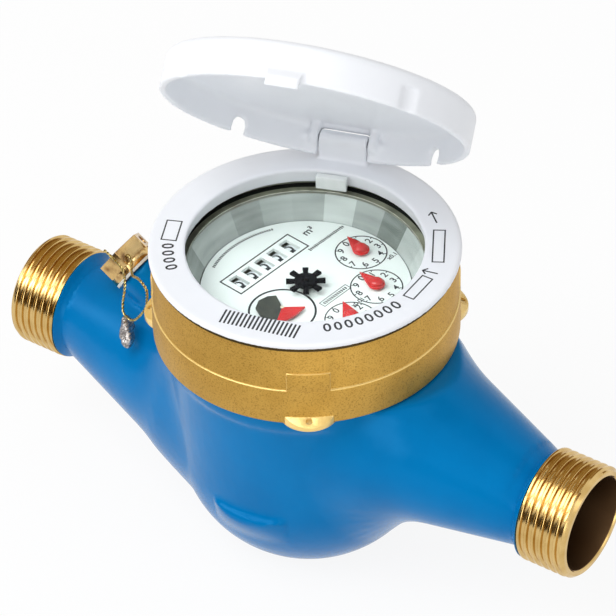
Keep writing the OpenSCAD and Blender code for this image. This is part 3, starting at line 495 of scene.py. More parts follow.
LEAD = Speckled(
    "soft_lead", (0.66, 0.63, 0.61), (0.20, 0.18, 0.175), 0.9, (0.22, 0.45), 0.9,
    relief=((1.1, 0.4), (0.45, 0.14)), grain=(0.06, 0.045, 0.04), share=0.9,
)


class Side(Enum):
    """The two ends of the water way, as the sign of X."""

    INLET = -1
    OUTLET = 1


def new_material(name: str, shader: Callable[[Board], Value]) -> Material:
    """Makes a material.

    Args:
        name: Its name.
        shader: Builds its shader on a board.

    Returns:
        The material.
    """
    material = bpy.data.materials.new(name)
    material.use_nodes = True
    board = Board(material.node_tree)
    board.end("ShaderNodeOutputMaterial", shader(board))
    return material


@cache
def material_of(finish: Finish) -> Material:
    """The material of a finish, made once."""
    return new_material(finish.name, finish.shader)


def coated(mesh: Mesh, finish: Finish) -> None:
    """Gives a mesh one finish."""
    mesh.materials.clear()
    mesh.materials.append(material_of(finish))


def linked(name: str, data: ID) -> Object:
    """Puts a new object with its data in the scene.

    Args:
        name: The object's name.
        data: Its mesh, curve, lamp or camera.

    Returns:
        The object.
    """
    made = bpy.data.objects.new(name, data)
    bpy.context.scene.collection.objects.link(made)
    return made


def new_piece(name: str, mesh: Mesh, finish: Finish, body: str) -> Object:
    """Makes a finished piece that rides on a body.

    Args:
        name: The piece's name.
        mesh: Its mesh, in place.
        finish: Its finish.
        body: The body that it rides on.

    Returns:
        The piece.
    """
    piece = linked(name, mesh)
    coated(mesh, finish)
    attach(piece, body)
    LOG.info("%s: %d faces on %s", name, len(mesh.polygons), body)
    return piece


def dress_node(node: str, finish: Finish) -> None:
    """Gives a carried-over CAD node its finish."""
    coated(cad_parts[node].data, finish)
    LOG.info("%s: dressed in %s", node, finish.name)


def shift(x: float, y: float, z: float) -> Matrix:
    """A move, in millimetres."""
    return Matrix.Translation((x * MM, y * MM, z * MM))


def turned(angle_deg: float, axis: str = "Z") -> Matrix:
    """A turn about an axis, in degrees."""
    return Matrix.Rotation(math.radians(angle_deg), 4, axis)


def eased(at: np.ndarray, start: float, run: float) -> np.ndarray:
    """A smooth rise from zero at the start to one at the end of a run."""
    t = np.clip((at - start) / run, 0, 1)
    return t * t * (3 - 2 * t)


def within(limit: np.ndarray, reach: np.ndarray, there: np.ndarray) -> np.ndarray:
    """The share of each reach that stays within a limit, and one where the limit doesn't hold."""
    return np.where(there, np.minimum(1, limit / np.maximum(reach, 1)), 1)


def plain_mesh(name: str, bm: BMesh) -> Mesh:
    """Turns a bmesh into a mesh as it is.

    Args:
        name: The mesh's name.
        bm: The shape, which is freed.

    Returns:
        The mesh.
    """
    mesh = bpy.data.meshes.new(name)
    bm.to_mesh(mesh)
    bm.free()
    return mesh


def to_mesh(name: str, bm: BMesh, sharp_deg: float = 35.0) -> Mesh:
    """Turns a bmesh into a smooth mesh with outward normals.

    Args:
        name: The mesh's name.
        bm: The shape, which is freed.
        sharp_deg: Edges over this angle stay sharp.

    Returns:
        The mesh.
    """
    bm.normal_update()
    bmesh.ops.recalc_face_normals(bm, faces=bm.faces)
    mesh = plain_mesh(name, bm)
    mesh.polygons.foreach_set("use_smooth", [True] * len(mesh.polygons))
    mesh.set_sharp_from_angle(angle=math.radians(sharp_deg))
    return mesh


def merged(mesh: Mesh, distance: float = MERGE) -> BMesh:
    """A copy of a mesh whose close points are one.

    Args:
        mesh: The mesh.
        distance: How close they are, in metres.

    Returns:
        The copy.
    """
    bm = bmesh.new()
    bm.from_mesh(mesh)
    bmesh.ops.remove_doubles(bm, verts=bm.verts, dist=distance)
    return bm


def add_mesh(bm: BMesh, mesh: Mesh, matrix: Matrix | None = None) -> None:
    """Adds a mesh to a bmesh and drops the mesh.

    Args:
        bm: The bmesh to add to.
        mesh: The mesh.
        matrix: Its place, where it isn't in place already.
    """
    if matrix is not None:
        mesh.transform(matrix)
    bm.from_mesh(mesh)
    bpy.data.meshes.remove(mesh)


def evaluated(holder: Object) -> Mesh:
    """The mesh that an object ends up with; the object is dropped.

    Args:
        holder: The object.

    Returns:
        The mesh.
    """
    graph = bpy.context.evaluated_depsgraph_get()
    mesh = bpy.data.meshes.new_from_object(holder.evaluated_get(graph))
    bpy.data.objects.remove(holder)
    return mesh


def moulded(node: str, cell_mm: float, smooth: int, webs: Mesh | None = None) -> Mesh:
    """A merged copy of a node with softly rounded edges, as a casting or moulding has.

    Args:
        node: The CAD node.
        cell_mm: Size of the new mesh's cells.
        smooth: Rounds of smoothing.
        webs: More of the same moulding, in place, to join to it.

    Returns:
        The mesh.
    """
    bm = merged(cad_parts[node].data)
    if webs is not None:
        add_mesh(bm, webs)
    holder = linked("holder", plain_mesh(node + "_solid", bm))
    for kind, settings in (
        ("REMESH", {"mode": "VOXEL", "voxel_size": cell_mm * MM, "use_smooth_shade": True}),
        ("SMOOTH", {"factor": 0.5, "iterations": smooth}),
    ):
        modifier = holder.modifiers.new(kind.lower(), kind)
        for name, value in settings.items():
            setattr(modifier, name, value)
    made = evaluated(holder)
    made.polygons.foreach_set("use_smooth", [True] * len(made.polygons))
    return made


def rounded(
    bm: BMesh, edges: Iterable[BMEdge], width_mm: float, segments: int = 2
) -> list[BMVert]:
    """Rounds edges.

    Args:
        bm: The bmesh.
        edges: The edges.
        width_mm: Width of the rounding.
        segments: Steps across it.

    Returns:
        The new points.
    """
    made = bmesh.ops.bevel(
        bm,
        geom=list(edges),
        offset=width_mm * MM,
        offset_type="OFFSET",
        segments=segments,
        profile=0.5,
        affect="EDGES",
        material=-1,
    )
    return made["verts"]


def sharp_edges(bm: BMesh, angle: float) -> list[BMEdge]:
    """The edges between two faces at more than an angle, in radians."""
    return [e for e in bm.edges if len(e.link_faces) == 2 and e.calc_face_angle() > angle]


def crisp(node: str, edge_mm: float) -> Mesh:
    """A merged copy of a node with narrow rounded edges, as a machined or pressed part has.

    Args:
        node: The CAD node.
        edge_mm: Width of the rounding.

    Returns:
        The mesh.
    """
    flat_deg, round_deg, sharp_deg = 0.6, 28.0, 30.0
    bm = merged(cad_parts[node].data, 2 * MERGE)
    bmesh.ops.dissolve_limit(bm, angle_limit=math.radians(flat_deg), verts=bm.verts, edges=bm.edges)
    rounded(bm, sharp_edges(bm, math.radians(round_deg)), edge_mm)
    bmesh.ops.triangulate(bm, faces=[f for f in bm.faces if len(f.verts) > 4])
    return to_mesh(node + "_crisp", bm, sharp_deg)


def moved(mesh: Mesh, rule: Callable[[np.ndarray], np.ndarray]) -> Mesh:
    """Moves a mesh's points by a rule.

    Args:
        mesh: The mesh.
        rule: Takes the points as rows, in millimetres, and gives their new places.

    Returns:
        The same mesh.
    """
    points = np.zeros(len(mesh.vertices) * 3)
    mesh.vertices.foreach_get("co", points)
    placed = rule(points.reshape(-1, 3) / MM) * MM
    mesh.vertices.foreach_set("co", placed.ravel())
    mesh.update()
    return mesh


def spun(name: str, profile: Iterable[Pair], steps: int) -> Mesh:
    """Spins a closed profile of radius and height about Z.

    Args:
        name: The mesh's name.
        profile: The profile's points, in millimetres.
        steps: Steps in a full turn.

    Returns:
        The mesh.
    """
    bm = bmesh.new()
    points = [bm.verts.new((r * MM, 0, z * MM)) for r, z in profile]
    edges = [bm.edges.new(pair) for pair in zip(points, (*points[1:], points[0]))]
    bmesh.ops.spin(
        bm, geom=points + edges, cent=(0, 0, 0), axis=(0, 0, 1), angle=math.tau, steps=steps, use_merge=True
    )
    bmesh.ops.remove_doubles(bm, verts=bm.verts, dist=MERGE / 10)
    return plain_mesh(name, bm)


def placed_box(bm: BMesh, size: Point, matrix: Matrix, round_mm: float = 0.0) -> None:
    """Adds a box with rounded edges.

    Args:
        bm: The bmesh to add to.
        size: Its sides, in millimetres.
        matrix: Its place.
        round_mm: Radius of its edges.
    """
    scale = Matrix.Diagonal((size[0] * MM, size[1] * MM, size[2] * MM, 1))
    made = bmesh.ops.create_cube(bm, size=1.0, matrix=scale)["verts"]
    if round_mm:
        made = rounded(bm, {edge for vert in made for edge in vert.link_edges}, round_mm, 3)
        made = list({v for f in {f for v in made for f in v.link_faces} for v in f.verts})
    bmesh.ops.transform(bm, matrix=matrix, verts=made)


def pushed(
    bm: BMesh, faces: list[BMFace], by: Vector | Point
) -> list[BMVert]:
    """Extrudes faces.

    Args:
        bm: The bmesh.
        faces: The faces, which stay where they are.
        by: How far the new faces move, in metres.

    Returns:
        The new points.
    """
    made = bmesh.ops.extrude_face_region(bm, geom=faces)["geom"]
    ends = [g for g in made if isinstance(g, BMVert)]
    bmesh.ops.translate(bm, vec=by, verts=ends)
    return ends


def cut_off(bm: BMesh, x: float, outward: int) -> None:
    """Cuts away what lies beyond a plane across the pipe.

    Args:
        bm: The bmesh.
        x: Where the plane lies along the pipe, in millimetres.
        outward: The sign of the way to what is cut away.
    """
    bmesh.ops.bisect_plane(
        bm,
        geom=bm.verts[:] + bm.edges[:] + bm.faces[:],
        plane_co=(x * MM, 0, 0),
        plane_no=(outward, 0, 0),
        clear_outer=True,
    )


def from_curve(name: str, curve: Curve) -> Mesh:
    """Turns a curve or text into a merged mesh and drops it.

    Args:
        name: The mesh's name.
        curve: The curve or text.

    Returns:
        The mesh.
    """
    mesh = evaluated(linked(name, curve))
    bpy.data.curves.remove(curve)
    bm = merged(mesh)
    bpy.data.meshes.remove(mesh)
    return to_mesh(name, bm, 40.0)


def figures(text: str, height_mm: float, thick_mm: float) -> Mesh:
    """A line of figures as a thin closed mesh about its own middle.

    Args:
        text: The figures.
        height_mm: Height of the type.
        thick_mm: Thickness of the ink.

    Returns:
        The mesh.
    """
    tall, bold = 0.7, 0.022  # height of a figure in type of size one, and how far its outline swells
    curve = bpy.data.curves.new("figures", "FONT")
    curve.body = text
    curve.size = height_mm * MM / tall
    curve.align_x = "CENTER"
    curve.align_y = "CENTER"
    curve.resolution_u = 3
    curve.offset = height_mm * MM * bold
    curve.extrude = thick_mm * MM / 2
    return from_curve("figures", curve)


@dataclass
class Studio:
    """Camera, lights, floor and surroundings."""

    azimuth: float = 34.898  # direction of the camera round the meter, in degrees
    elevation: float = 39.912  # its height above the horizon, in degrees
    roll: float = -1.323  # its roll, in degrees
    distance: float = 1162.3  # its distance from the pipe's middle, in millimetres
    offset: Pair = (-0.168, 26.57)  # sideways and upward offset of the camera, in millimetres
    lens: float = 237.24  # focal length of the camera
    sensor: float = 36.0  # width of the camera's sensor
    near: float = 0.05  # distance from which the camera sees, in metres
    aim: Point = (0.0, 0.0, 0.05)  # where lamps and cards face, in metres
    floor_size: Pair = (12.0, 12.0)  # sides of the floor, in metres
    floor_z: float = -0.3  # height of the floor, in millimetres
    floor_glow: float = 0.9  # how much of the floor's look is plain white
    dim: float = 0.55  # strength of the surroundings where they only light the meter
    # name, place and size in metres, and watts of each soft box
    lamps: tuple[tuple[str, Point, Pair, float], ...] = (
        ("key", (-0.25, -0.55, 1.25), (0.9, 0.7), 7.2),
        ("left_strip", (-1.0, -0.55, 0.65), (0.16, 0.8), 1.0),
        ("low_strip", (-0.72, -0.95, 0.86), (0.8, 0.3), 4.0),
        ("right_box", (1.0, -0.1, 0.75), (0.4, 0.7), 0.8),
        ("front_box", (0.85, -1.0, 0.22), (0.8, 0.4), 2.8),
    )
    # name, place and size in metres, and colour of each card
    cards: tuple[tuple[str, Point, Pair, Colour], ...] = (
        ("low_flag", (-0.20, -0.37, 0.098), (1.0, 0.19), (0.05, 0.03, 0.01)),
        ("back_flag", (-1.2, 1.3, 1.1), (3.8, 2.1), (0.34, 0.23, 0.09)),
        ("side_flag", (0.79, 0.08, 1.27), (0.8, 0.7), (0.26, 0.16, 0.07)),
        ("top_flag", (-0.75, 0.12, 1.4), (1.3, 1.1), (0.42, 0.28, 0.10)),
    )

    def camera(self) -> None:
        """Sets the camera at the photograph's place."""
        a, e, roll = (math.radians(v) for v in (self.azimuth, self.elevation, self.roll))
        back = Vector((math.sin(a) * math.cos(e), -math.cos(a) * math.cos(e), math.sin(e)))
        right = Vector((math.cos(a), math.sin(a), 0))
        up = back.cross(right)
        across = right * math.cos(roll) + up * math.sin(roll)
        over = up * math.cos(roll) - right * math.sin(roll)
        place = back * self.distance + across * self.offset[0] + over * self.offset[1]
        place += Vector((0, 0, AXIS_Z))
        data = bpy.data.cameras.new("camera")
        data.lens = self.lens
        data.sensor_width = self.sensor
        data.clip_start = self.near
        camera = linked("camera", data)
        turn = Matrix((across, over, back)).transposed().to_4x4()
        camera.matrix_world = Matrix.Translation(place * MM) @ turn
        bpy.context.scene.camera = camera

    def facing(self, place: Point, front: str) -> Quaternion:
        """The turn that points a front at the meter from a place."""
        return (Vector(self.aim) - Vector(place)).to_track_quat(front, "Y")

    def lamp(self, name: str, place: Point, size: Pair, watts: float) -> None:
        """Adds a soft box that faces the meter.

        Args:
            name: Its name.
            place: Its place, in metres.
            size: Its width and height, in metres.
            watts: Its power.
        """
        data = bpy.data.lights.new(name, "AREA")
        data.shape = "RECTANGLE"
        data.size, data.size_y = size
        data.energy = watts
        lamp = linked(name, data)
        lamp.location = place
        lamp.rotation_euler = self.facing(place, "-Z").to_euler()
        lamp.visible_camera = False

    @staticmethod
    def sheet(name: str, size: Pair, matrix: Matrix, material: Material) -> Object:
        """Adds a flat sheet of the studio.

        Args:
            name: Its name.
            size: Its sides, in metres.
            matrix: Its place.
            material: Its material.

        Returns:
            The sheet.
        """
        bm = bmesh.new()
        bmesh.ops.create_grid(bm, x_segments=1, y_segments=1, size=0.5)
        bmesh.ops.scale(bm, vec=(*size, 1), verts=bm.verts)
        bmesh.ops.transform(bm, matrix=matrix, verts=bm.verts)
        mesh = plain_mesh(name, bm)
        mesh.materials.append(material)
        sheet = linked(name, mesh)
        return sheet

    @staticmethod
    def glow(board: Board, tint: Colour) -> Value:
        """A shader that looks one colour in any light."""
        return board.node("ShaderNodeEmission", {"Color": tint, "Strength": 1.0})

    def card(self, name: str, place: Point, size: Pair, tint: Colour) -> None:
        """Adds a plain card that only reflections see.

        Args:
            name: Its name.
            place: Its middle, in metres.
            size: Its width and height, in metres.
            tint: The colour that it looks.
        """
        material = new_material(name, lambda board: self.glow(board, tint))
        matrix = Matrix.Translation(place) @ self.facing(place, "Z").to_matrix().to_4x4()
        card = self.sheet(name, size, matrix, material)
        card.visible_camera = card.visible_diffuse = card.visible_shadow = card.visible_transmission = False

    @staticmethod
    def seen(board: Board) -> Value:
        """One for rays from the camera, a reflection or glass, and zero for the rest."""
        camera, glossy, glass = (board.node("ShaderNodeLightPath", output=ray) for ray in (0, 3, 6))
        return camera.most(glossy).most(glass)

    def paper(self, board: Board) -> Value:
        """Builds the floor: white where it is seen, and pale where it only passes light on.

        Args:
            board: The floor's nodes.

        Returns:
            The shader.
        """
        pale = board.node("ShaderNodeBsdfDiffuse", {"Color": (0.9, 0.9, 0.9)})
        inputs = {0: self.seen(board) * self.floor_glow, 1: pale, 2: self.glow(board, WHITE)}
        return board.node("ShaderNodeMixShader", inputs)

    def surroundings(self) -> None:
        """Makes the pale floor and the white surroundings."""
        material = new_material("floor_white", self.paper)
        self.sheet("floor", self.floor_size, shift(0, 0, self.floor_z), material)
        world = bpy.data.worlds.new("surroundings")
        world.use_nodes = True
        bpy.context.scene.world = world
        board = Board(world.node_tree)
        strength = self.seen(board) * (1 - self.dim) + self.dim
        sky = board.node("ShaderNodeBackground", {"Color": WHITE, "Strength": strength})
        board.end("ShaderNodeOutputWorld", sky)

    def build(self) -> None:
        """Sets up the whole studio."""
        self.camera()
        self.surroundings()
        for lamp in self.lamps:
            self.lamp(*lamp)
        for card in self.cards:
            self.card(*card)
        bpy.context.scene.view_settings.view_transform = "Standard"


@dataclass
class Casting:
    """The enamelled body and the bare threads at its ends; sizes in millimetres."""

    cell: float = 1.0  # cell of the body's mesh
    smooth: int = 5  # rounds of smoothing of that mesh
    end_x: float = 95.0  # half the length over the ends
    thread_from: float = 79.4  # where a thread starts
    thread_r: float = 16.62  # radius over the thread
    root_r: float = 15.85  # radius at the thread's root
    thread_steps: int = 160  # steps in one turn of the thread
    # place along the pitch and level from root to crest of each point on one ridge
    form: tuple[Pair, ...] = (
        (0.0, 0.08), (0.2, 0.0), (0.4, 0.08), (0.53, 0.9), (0.58, 1.0), (0.8, 1.0), (0.85, 0.9)
    )
    chamfer: float = 1.1  # chamfer at the thread's end
    bore_r: float = 12.5  # radius of the water way
    mouth: float = 9.2  # depth of the tapered mouth
    # radius beyond the bore's, and depth, of each point on the mouth's lip
    lip: tuple[Pair, ...] = ((1.9, 0.0), (1.5, 0.5))
    inner: Pair = (34.0, 18.4)  # how deep the liner of the bore and the sleeve round it reach
    sleeve: Pair = (-0.1, 0.5)  # how far the liner and the sleeve lie outside the bore
    pitch: float = 2.309  # pitch of the thread
    neck_r: float = 14.0  # radius of the neck
    neck_x: float = 78.3  # distance of the neck's end along the pipe
    bowl_r: float = 37.7  # radius of the bowl
    bowl_z: float = 30.6  # height of the bowl's middle
    flat_turn: float = 6.0  # direction of the flat on the bowl from the front, in degrees
    flat_half: float = 11.5  # half the flat's width
    flat_z: Pair = (15.0, 28.0)  # heights between which the flat rises out of the bowl
    flat_out: float = 2.4  # how far its upper edge stands out
    # radius and distance along the pipe of each point on the collar that rises from the neck
    collar: tuple[Pair, ...] = (
        (13.6, 76.2), (14.35, 77.2), (14.75, 77.8), (15.4, 78.4), (16.0, 78.85), (16.3, 79.1)
    )
    collar_gap: float = 0.06  # gap between the collar and the thread
    collar_steps: int = 96  # steps in one turn of the collar

    def trimmed(self, p: np.ndarray) -> np.ndarray:
        """Draws the ends in under the threads.

        Args:
            p: The points.

        Returns:
            Their new places.
        """
        run_in, wall, clear, slope = 4.0, 0.8, 0.05, 0.45
        made = p.copy()
        r = np.hypot(made[:, 1], made[:, 2] - AXIS_Z)
        along = np.abs(made[:, 0])
        skin = (along > self.neck_x - run_in) & (r > self.bore_r + wall)
        cone = self.neck_r + clear + slope * np.maximum(0, self.neck_x - along)
        share = within(cone, r, skin)
        made[:, 1] *= share
        made[:, 2] = np.maximum(AXIS_Z + (made[:, 2] - AXIS_Z) * share, 0.0)
        return made

    def faded(self, p: np.ndarray) -> np.ndarray:
        """Fades the flat on the bowl's front into a crescent under its upper edge.

        Args:
            p: The points.

        Returns:
            Their new places.
        """
        beside, over = 3.0, 1.0
        turn = math.radians(self.flat_turn)
        across = p[:, 0] * math.cos(turn) + p[:, 1] * math.sin(turn)
        front = p[:, 1] * math.cos(turn) - p[:, 0] * math.sin(turn)
        middle = np.array((0.0, 0.0, self.bowl_z))
        low, high = self.flat_z
        side = np.clip(1 - (across / self.flat_half) ** 2, 0, 1)
        limit = self.bowl_r + self.flat_out * eased(p[:, 2], low, high - low) * np.sqrt(side)
        there = (np.abs(across) < self.flat_half + beside) & (front < 0) & (p[:, 2] < high + over)
        share = within(limit, np.linalg.norm(p - middle, axis=1), there)
        return middle + (p - middle) * share[:, None]

    def body(self) -> None:
        """Makes the enamelled casting."""
        bm = bmesh.new()
        add_mesh(bm, moved(moved(moulded("body", self.cell, self.smooth), self.trimmed), self.faded))
        for side in Side:
            cut_off(bm, side.value * (self.end_x - self.mouth), side.value)
            bmesh.ops.bridge_loops(bm, edges=[e for e in bm.edges if e.is_boundary])
        front = self.thread_from - self.collar_gap
        rim = (*self.collar, (self.collar[-1][0], front), (self.collar[0][0], front))
        for side in Side:
            place = shift(0, 0, AXIS_Z) @ turned(90 * side.value, "Y")
            add_mesh(bm, spun("collar", rim, self.collar_steps), place)
        piece = new_piece("body_casting", to_mesh("body_casting", bm, 50.0), ENAMEL, METER)
        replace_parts(piece, "body")

    def ridges(self) -> BMesh:
        """Makes the thread's ridges, cut off at both ends and chamfered at the outer one.

        Returns:
            The ridges along X, about the pipe's middle.
        """
        teeth = math.ceil((self.end_x - self.thread_from) / self.pitch) + 3
        start = self.thread_from - 1.5 * self.pitch
        tooth = [(along, self.root_r + (self.thread_r - self.root_r) * level) for along, level in self.form]
        bm = bmesh.new()
        points = [
            bm.verts.new(((start + (i + along) * self.pitch) * MM, 0, r * MM))
            for i in range(teeth)
            for along, r in tooth
        ]
        edges = [bm.edges.new(pair) for pair in zip(points, points[1:])]
        bmesh.ops.spin(
            bm,
            geom=points + edges,
            cent=(0, 0, 0),
            axis=(1, 0, 0),
            dvec=(self.pitch * MM / self.thread_steps, 0, 0),
            angle=math.tau,
            steps=self.thread_steps,
            use_merge=False,
        )
        bmesh.ops.remove_doubles(bm, verts=bm.verts, dist=MERGE)
        cut_off(bm, self.thread_from, -1)
        cut_off(bm, self.end_x, 1)
        for vert in bm.verts:
            limit = self.thread_r - max(0.0, vert.co.x / MM - self.end_x + self.chamfer)
            r = math.hypot(vert.co.y, vert.co.z) / MM
            if r > limit:
                vert.co.y *= limit / r
                vert.co.z *= limit / r
        return bm

    def thread(self, side: Side) -> None:
        """Makes one threaded end with its bore.

        Args:
            side: Which end.
        """
        bm = self.ridges()
        liner, sleeve = (self.bore_r + more for more in self.sleeve)
        deep, short = self.inner
        mouth = [(self.bore_r + more, -depth) for more, depth in self.lip]
        loops = []
        for x, rings in (
            (self.end_x, (*mouth, (liner, -self.mouth), (liner, -deep))),
            (self.thread_from, ((sleeve, 0.0), (sleeve, -short))),
        ):
            rim = [e for e in bm.edges if e.is_boundary]
            edges = [e for e in rim if all(abs(v.co.x - x * MM) < MERGE for v in e.verts)]
            for r, along in rings:
                made = bmesh.ops.extrude_edge_only(bm, edges=edges)["geom"]
                edges = [g for g in made if isinstance(g, BMEdge)]
                for vert in {v for e in edges for v in e.verts}:
                    turn = math.atan2(vert.co.z, vert.co.y)
                    vert.co = Vector(((x + along) * MM, math.cos(turn) * r * MM, math.sin(turn) * r * MM))
            loops += edges
        bmesh.ops.bridge_loops(bm, edges=loops)
        place = shift(0, 0, AXIS_Z)
        if side is Side.INLET:
            place = place @ turned(180)
        bmesh.ops.transform(bm, matrix=place, verts=bm.verts)
        name = "thread_" + side.name.lower()
        new_piece(name, to_mesh(name, bm, 25.0), PIPE_BRASS, METER)

    def build(self) -> None:
        """Makes the casting and both threads."""
        self.body()
        for side in Side:
            self.thread(side)


@dataclass
class Head:
    """The brass head ring, the white shroud ring and the lid; sizes in millimetres."""

    ring_edge: float = 0.2  # rounding of the ring's edges
    shroud_cell: float = 0.42  # cell of the shroud's mesh
    lid_cell: float = 0.55  # cell of the lid's mesh
    smooth: int = 4  # rounds of smoothing of both meshes
    flange_z: float = 99.0  # height of the shroud's flange
    hinge: Pair = (40.7, 104.4)  # the pin's distance from the middle and its height
    hinge_turn: float = 108.0  # direction of the hinge, in degrees
    lid_open: float = 51.0  # angle of the lid, in degrees
    ring_r: float = 43.3  # radius of the head ring
    lug_z: float = 70.1  # height of the lugs' underside
    lug_slope: float = 0.19  # how far a lug thins over each millimetre outward, as a share
    lid_r: float = 43.5  # radius of the lid
    catch_z: float = 99.6  # height of the shut lid's catch below its ramp
    catch_run: float = 3.5  # height of that ramp
    catch_out: float = 1.8  # how far the catch stands out
    web: Point = (1.5, 14.9, 2.2)  # sides of the web over the hinge's knuckle
    web_at: Point = (0.35, 0.0, 3.98)  # its place from the pin
    cap: Pair = (1.3, 2.4)  # radius and length of the plugs in the pin's hole
    cap_y: float = 11.4  # their distance from the hinge's middle
    ink: float = 0.04  # thickness of the print
    line: float = 0.45  # width of a printed line
    bars: int = 19  # how many bars the scale has
    bar: Pair = (5.6, 0.55)  # length and width of a bar
    bar_pitch: float = 1.18  # spacing of the bars
    bar_at: Pair = (36.4, -75.5)  # distance of the scale from the middle, and its direction in degrees
    # distance, direction, length and lean of each arrow
    arrows: tuple[tuple[float, float, float, float], ...] = ((36.9, 13.0, 4.4, 90.0), (37.6, 50.5, 5.0, 0.0))
    # distance, direction and sides of each empty frame
    frames: tuple[tuple[float, float, Pair], ...] = (
        (37.7, -156.0, (8.6, 4.2)), (36.7, 1.5, (10.0, 3.2)), (37.1, 31.0, (14.0, 3.2))
    )
    # first direction, count and distance of each row of noughts
    rows: tuple[tuple[float, int, float], ...] = ((-46.5, 8, 36.9), (-145.5, 4, 38.2))
    nought: Pair = (3.3, 4.7)  # height of a nought, and the step from one to the next in degrees
    tab_size: Point = (2.2, 9.0, 4.2)  # sides of the clear tab
    tab_at: Pair = (32.0, 95.9)  # its distance from the middle and its height
    tab_turn: float = 110.5  # its direction, in degrees

    def webs(self) -> Mesh:
        """Makes the web over the hinge's knuckle and the plugs that close the pin's hole.

        Returns:
            The mesh, at the lid's place.
        """
        bm = bmesh.new()
        placed_box(bm, self.web, shift(*self.web_at))
        r, depth = (size * MM for size in self.cap)
        for side in (-1, 1):
            place = shift(0, side * self.cap_y, 0) @ turned(90, "X")
            bmesh.ops.create_cone(
                bm, cap_ends=True, segments=24, radius1=r, radius2=r, depth=depth, matrix=place
            )
        bmesh.ops.transform(bm, matrix=self.swing(self.lid_open), verts=bm.verts)
        return to_mesh("webs", bm)

    def swing(self, open_deg: float) -> Matrix:
        """The hinge's place, with the lid at an angle in degrees."""
        r, z = self.hinge
        return turned(self.hinge_turn) @ shift(r, 0, z) @ turned(open_deg, "Y")

    def sloped(self, p: np.ndarray) -> np.ndarray:
        """Slopes the tops of the head ring's lugs outward.

        Args:
            p: The ring's points.

        Returns:
            Their new places.
        """
        out = np.maximum(0, np.hypot(p[:, 0], p[:, 1]) - self.ring_r)
        made = p.copy()
        lower = self.lug_z + (p[:, 2] - self.lug_z) * (1 - self.lug_slope * out)
        made[:, 2] = np.where(out > 0.02, lower, p[:, 2])
        return made

    def blended(self, p: np.ndarray) -> np.ndarray:
        """Ramps the upper part of the catch into the lid's wall.

        Args:
            p: The lid's points.

        Returns:
            Their new places.
        """
        shut = self.swing(0.0) @ self.swing(self.lid_open).inverted()
        turn, step = np.array(shut.to_3x3()), np.array(shut.translation) / MM
        made = p @ turn.T + step
        limit = self.lid_r + self.catch_out * (1 - eased(made[:, 2], self.catch_z, self.catch_run))
        angle = math.radians(self.hinge_turn)
        back = made @ np.array((math.cos(angle), math.sin(angle), 0))
        made[:, :2] *= within(limit, np.hypot(made[:, 0], made[:, 1]), back < 0)[:, None]
        return (made - step) @ turn

    def spot(self, r: float, turn_deg: float, lean: float = 0.0) -> Matrix:
        """A place on the flange: its distance and direction, with X along the tangent or leaning from it."""
        return turned(turn_deg) @ shift(r, 0, self.flange_z) @ turned(90) @ turned(lean)

    def arrow(self, bm: BMesh, r: float, turn_deg: float, length: float, lean: float) -> None:
        """Prints an arrow on the flange.

        Args:
            bm: The print.
            r: Distance of its middle from the meter's middle.
            turn_deg: Its direction from there, in degrees.
            length: Its length.
            lean: Where it points, in degrees from the tangent.
        """
        barb, inset, half = 1.8, 0.55, 0.6
        place = self.spot(r, turn_deg, lean)
        placed_box(bm, (length, self.line, self.ink), place)
        for side in (-1, 1):
            tip = shift(length / 2 - inset, side * half, 0) @ turned(-45 * side)
            placed_box(bm, (barb, self.line, self.ink), place @ tip)

    def empty(self, bm: BMesh, r: float, turn_deg: float, size: Pair) -> None:
        """Prints an empty frame on the flange.

        Args:
            bm: The print.
            r: Distance of its middle from the meter's middle.
            turn_deg: Its direction from there, in degrees.
            size: Its length and height.
        """
        thin = 0.4
        place = self.spot(r, turn_deg)
        for side in (-1, 1):
            placed_box(bm, (size[0] + thin, thin, self.ink), place @ shift(0, side * size[1] / 2, 0))
            placed_box(bm, (thin, size[1] - thin, self.ink), place @ shift(side * size[0] / 2, 0, 0))

    def marks(self) -> None:
        """Prints a scale of even bars, rows of noughts, plain arrows and empty frames on the flange."""
        bm = bmesh.new()
        r, middle = self.bar_at
        for i in range(self.bars):
            offset = (i - self.bars // 2) * self.bar_pitch
            turn = middle + math.degrees(math.atan2(offset, r))
            place = self.spot(math.hypot(r, offset), turn, 90.0 - (turn - middle))
            placed_box(bm, (*self.bar, self.ink), place)
        for arrow in self.arrows:
            self.arrow(bm, *arrow)
        for empty in self.frames:
            self.empty(bm, *empty)
        height, step = self.nought
        for start, count, r in self.rows:
            for i in range(count):
                add_mesh(bm, figures("0", height, self.ink), self.spot(r, start + step * i))
        new_piece("flange_print", to_mesh("flange_print", bm), INK, METER)

    def tab(self) -> None:
        """Makes the clear tab that holds the window down by the hinge."""
        bm = bmesh.new()
        r, z = self.tab_at
        placed_box(bm, self.tab_size, turned(self.tab_turn) @ shift(r, 0, z), 0.35)
        new_piece("window_tab", to_mesh("window_tab", bm), TAB_PLASTIC, METER)

    def build(self) -> None:
        """Makes the three rounded pieces, the print and the tab, and dresses the pin."""
        ring_mesh = moved(crisp("head_ring", self.ring_edge), self.sloped)
        ring = new_piece("head_ring_cast", ring_mesh, CAST_BRASS, METER)
        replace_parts(ring, "head_ring")
        shroud_mesh = moulded("shroud_ring", self.shroud_cell, self.smooth)
        shroud = new_piece("shroud_moulding", shroud_mesh, WHITE_PLASTIC, METER)
        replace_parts(shroud, "shroud_ring")
        lid_mesh = moved(moulded("lid", self.lid_cell, self.smooth, self.webs()), self.blended)
        lid = new_piece("lid_moulding", lid_mesh, WHITE_PLASTIC, COVER)
        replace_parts(lid, "lid")
        self.marks()
        self.tab()
        dress_node("hinge_pin", STEEL)


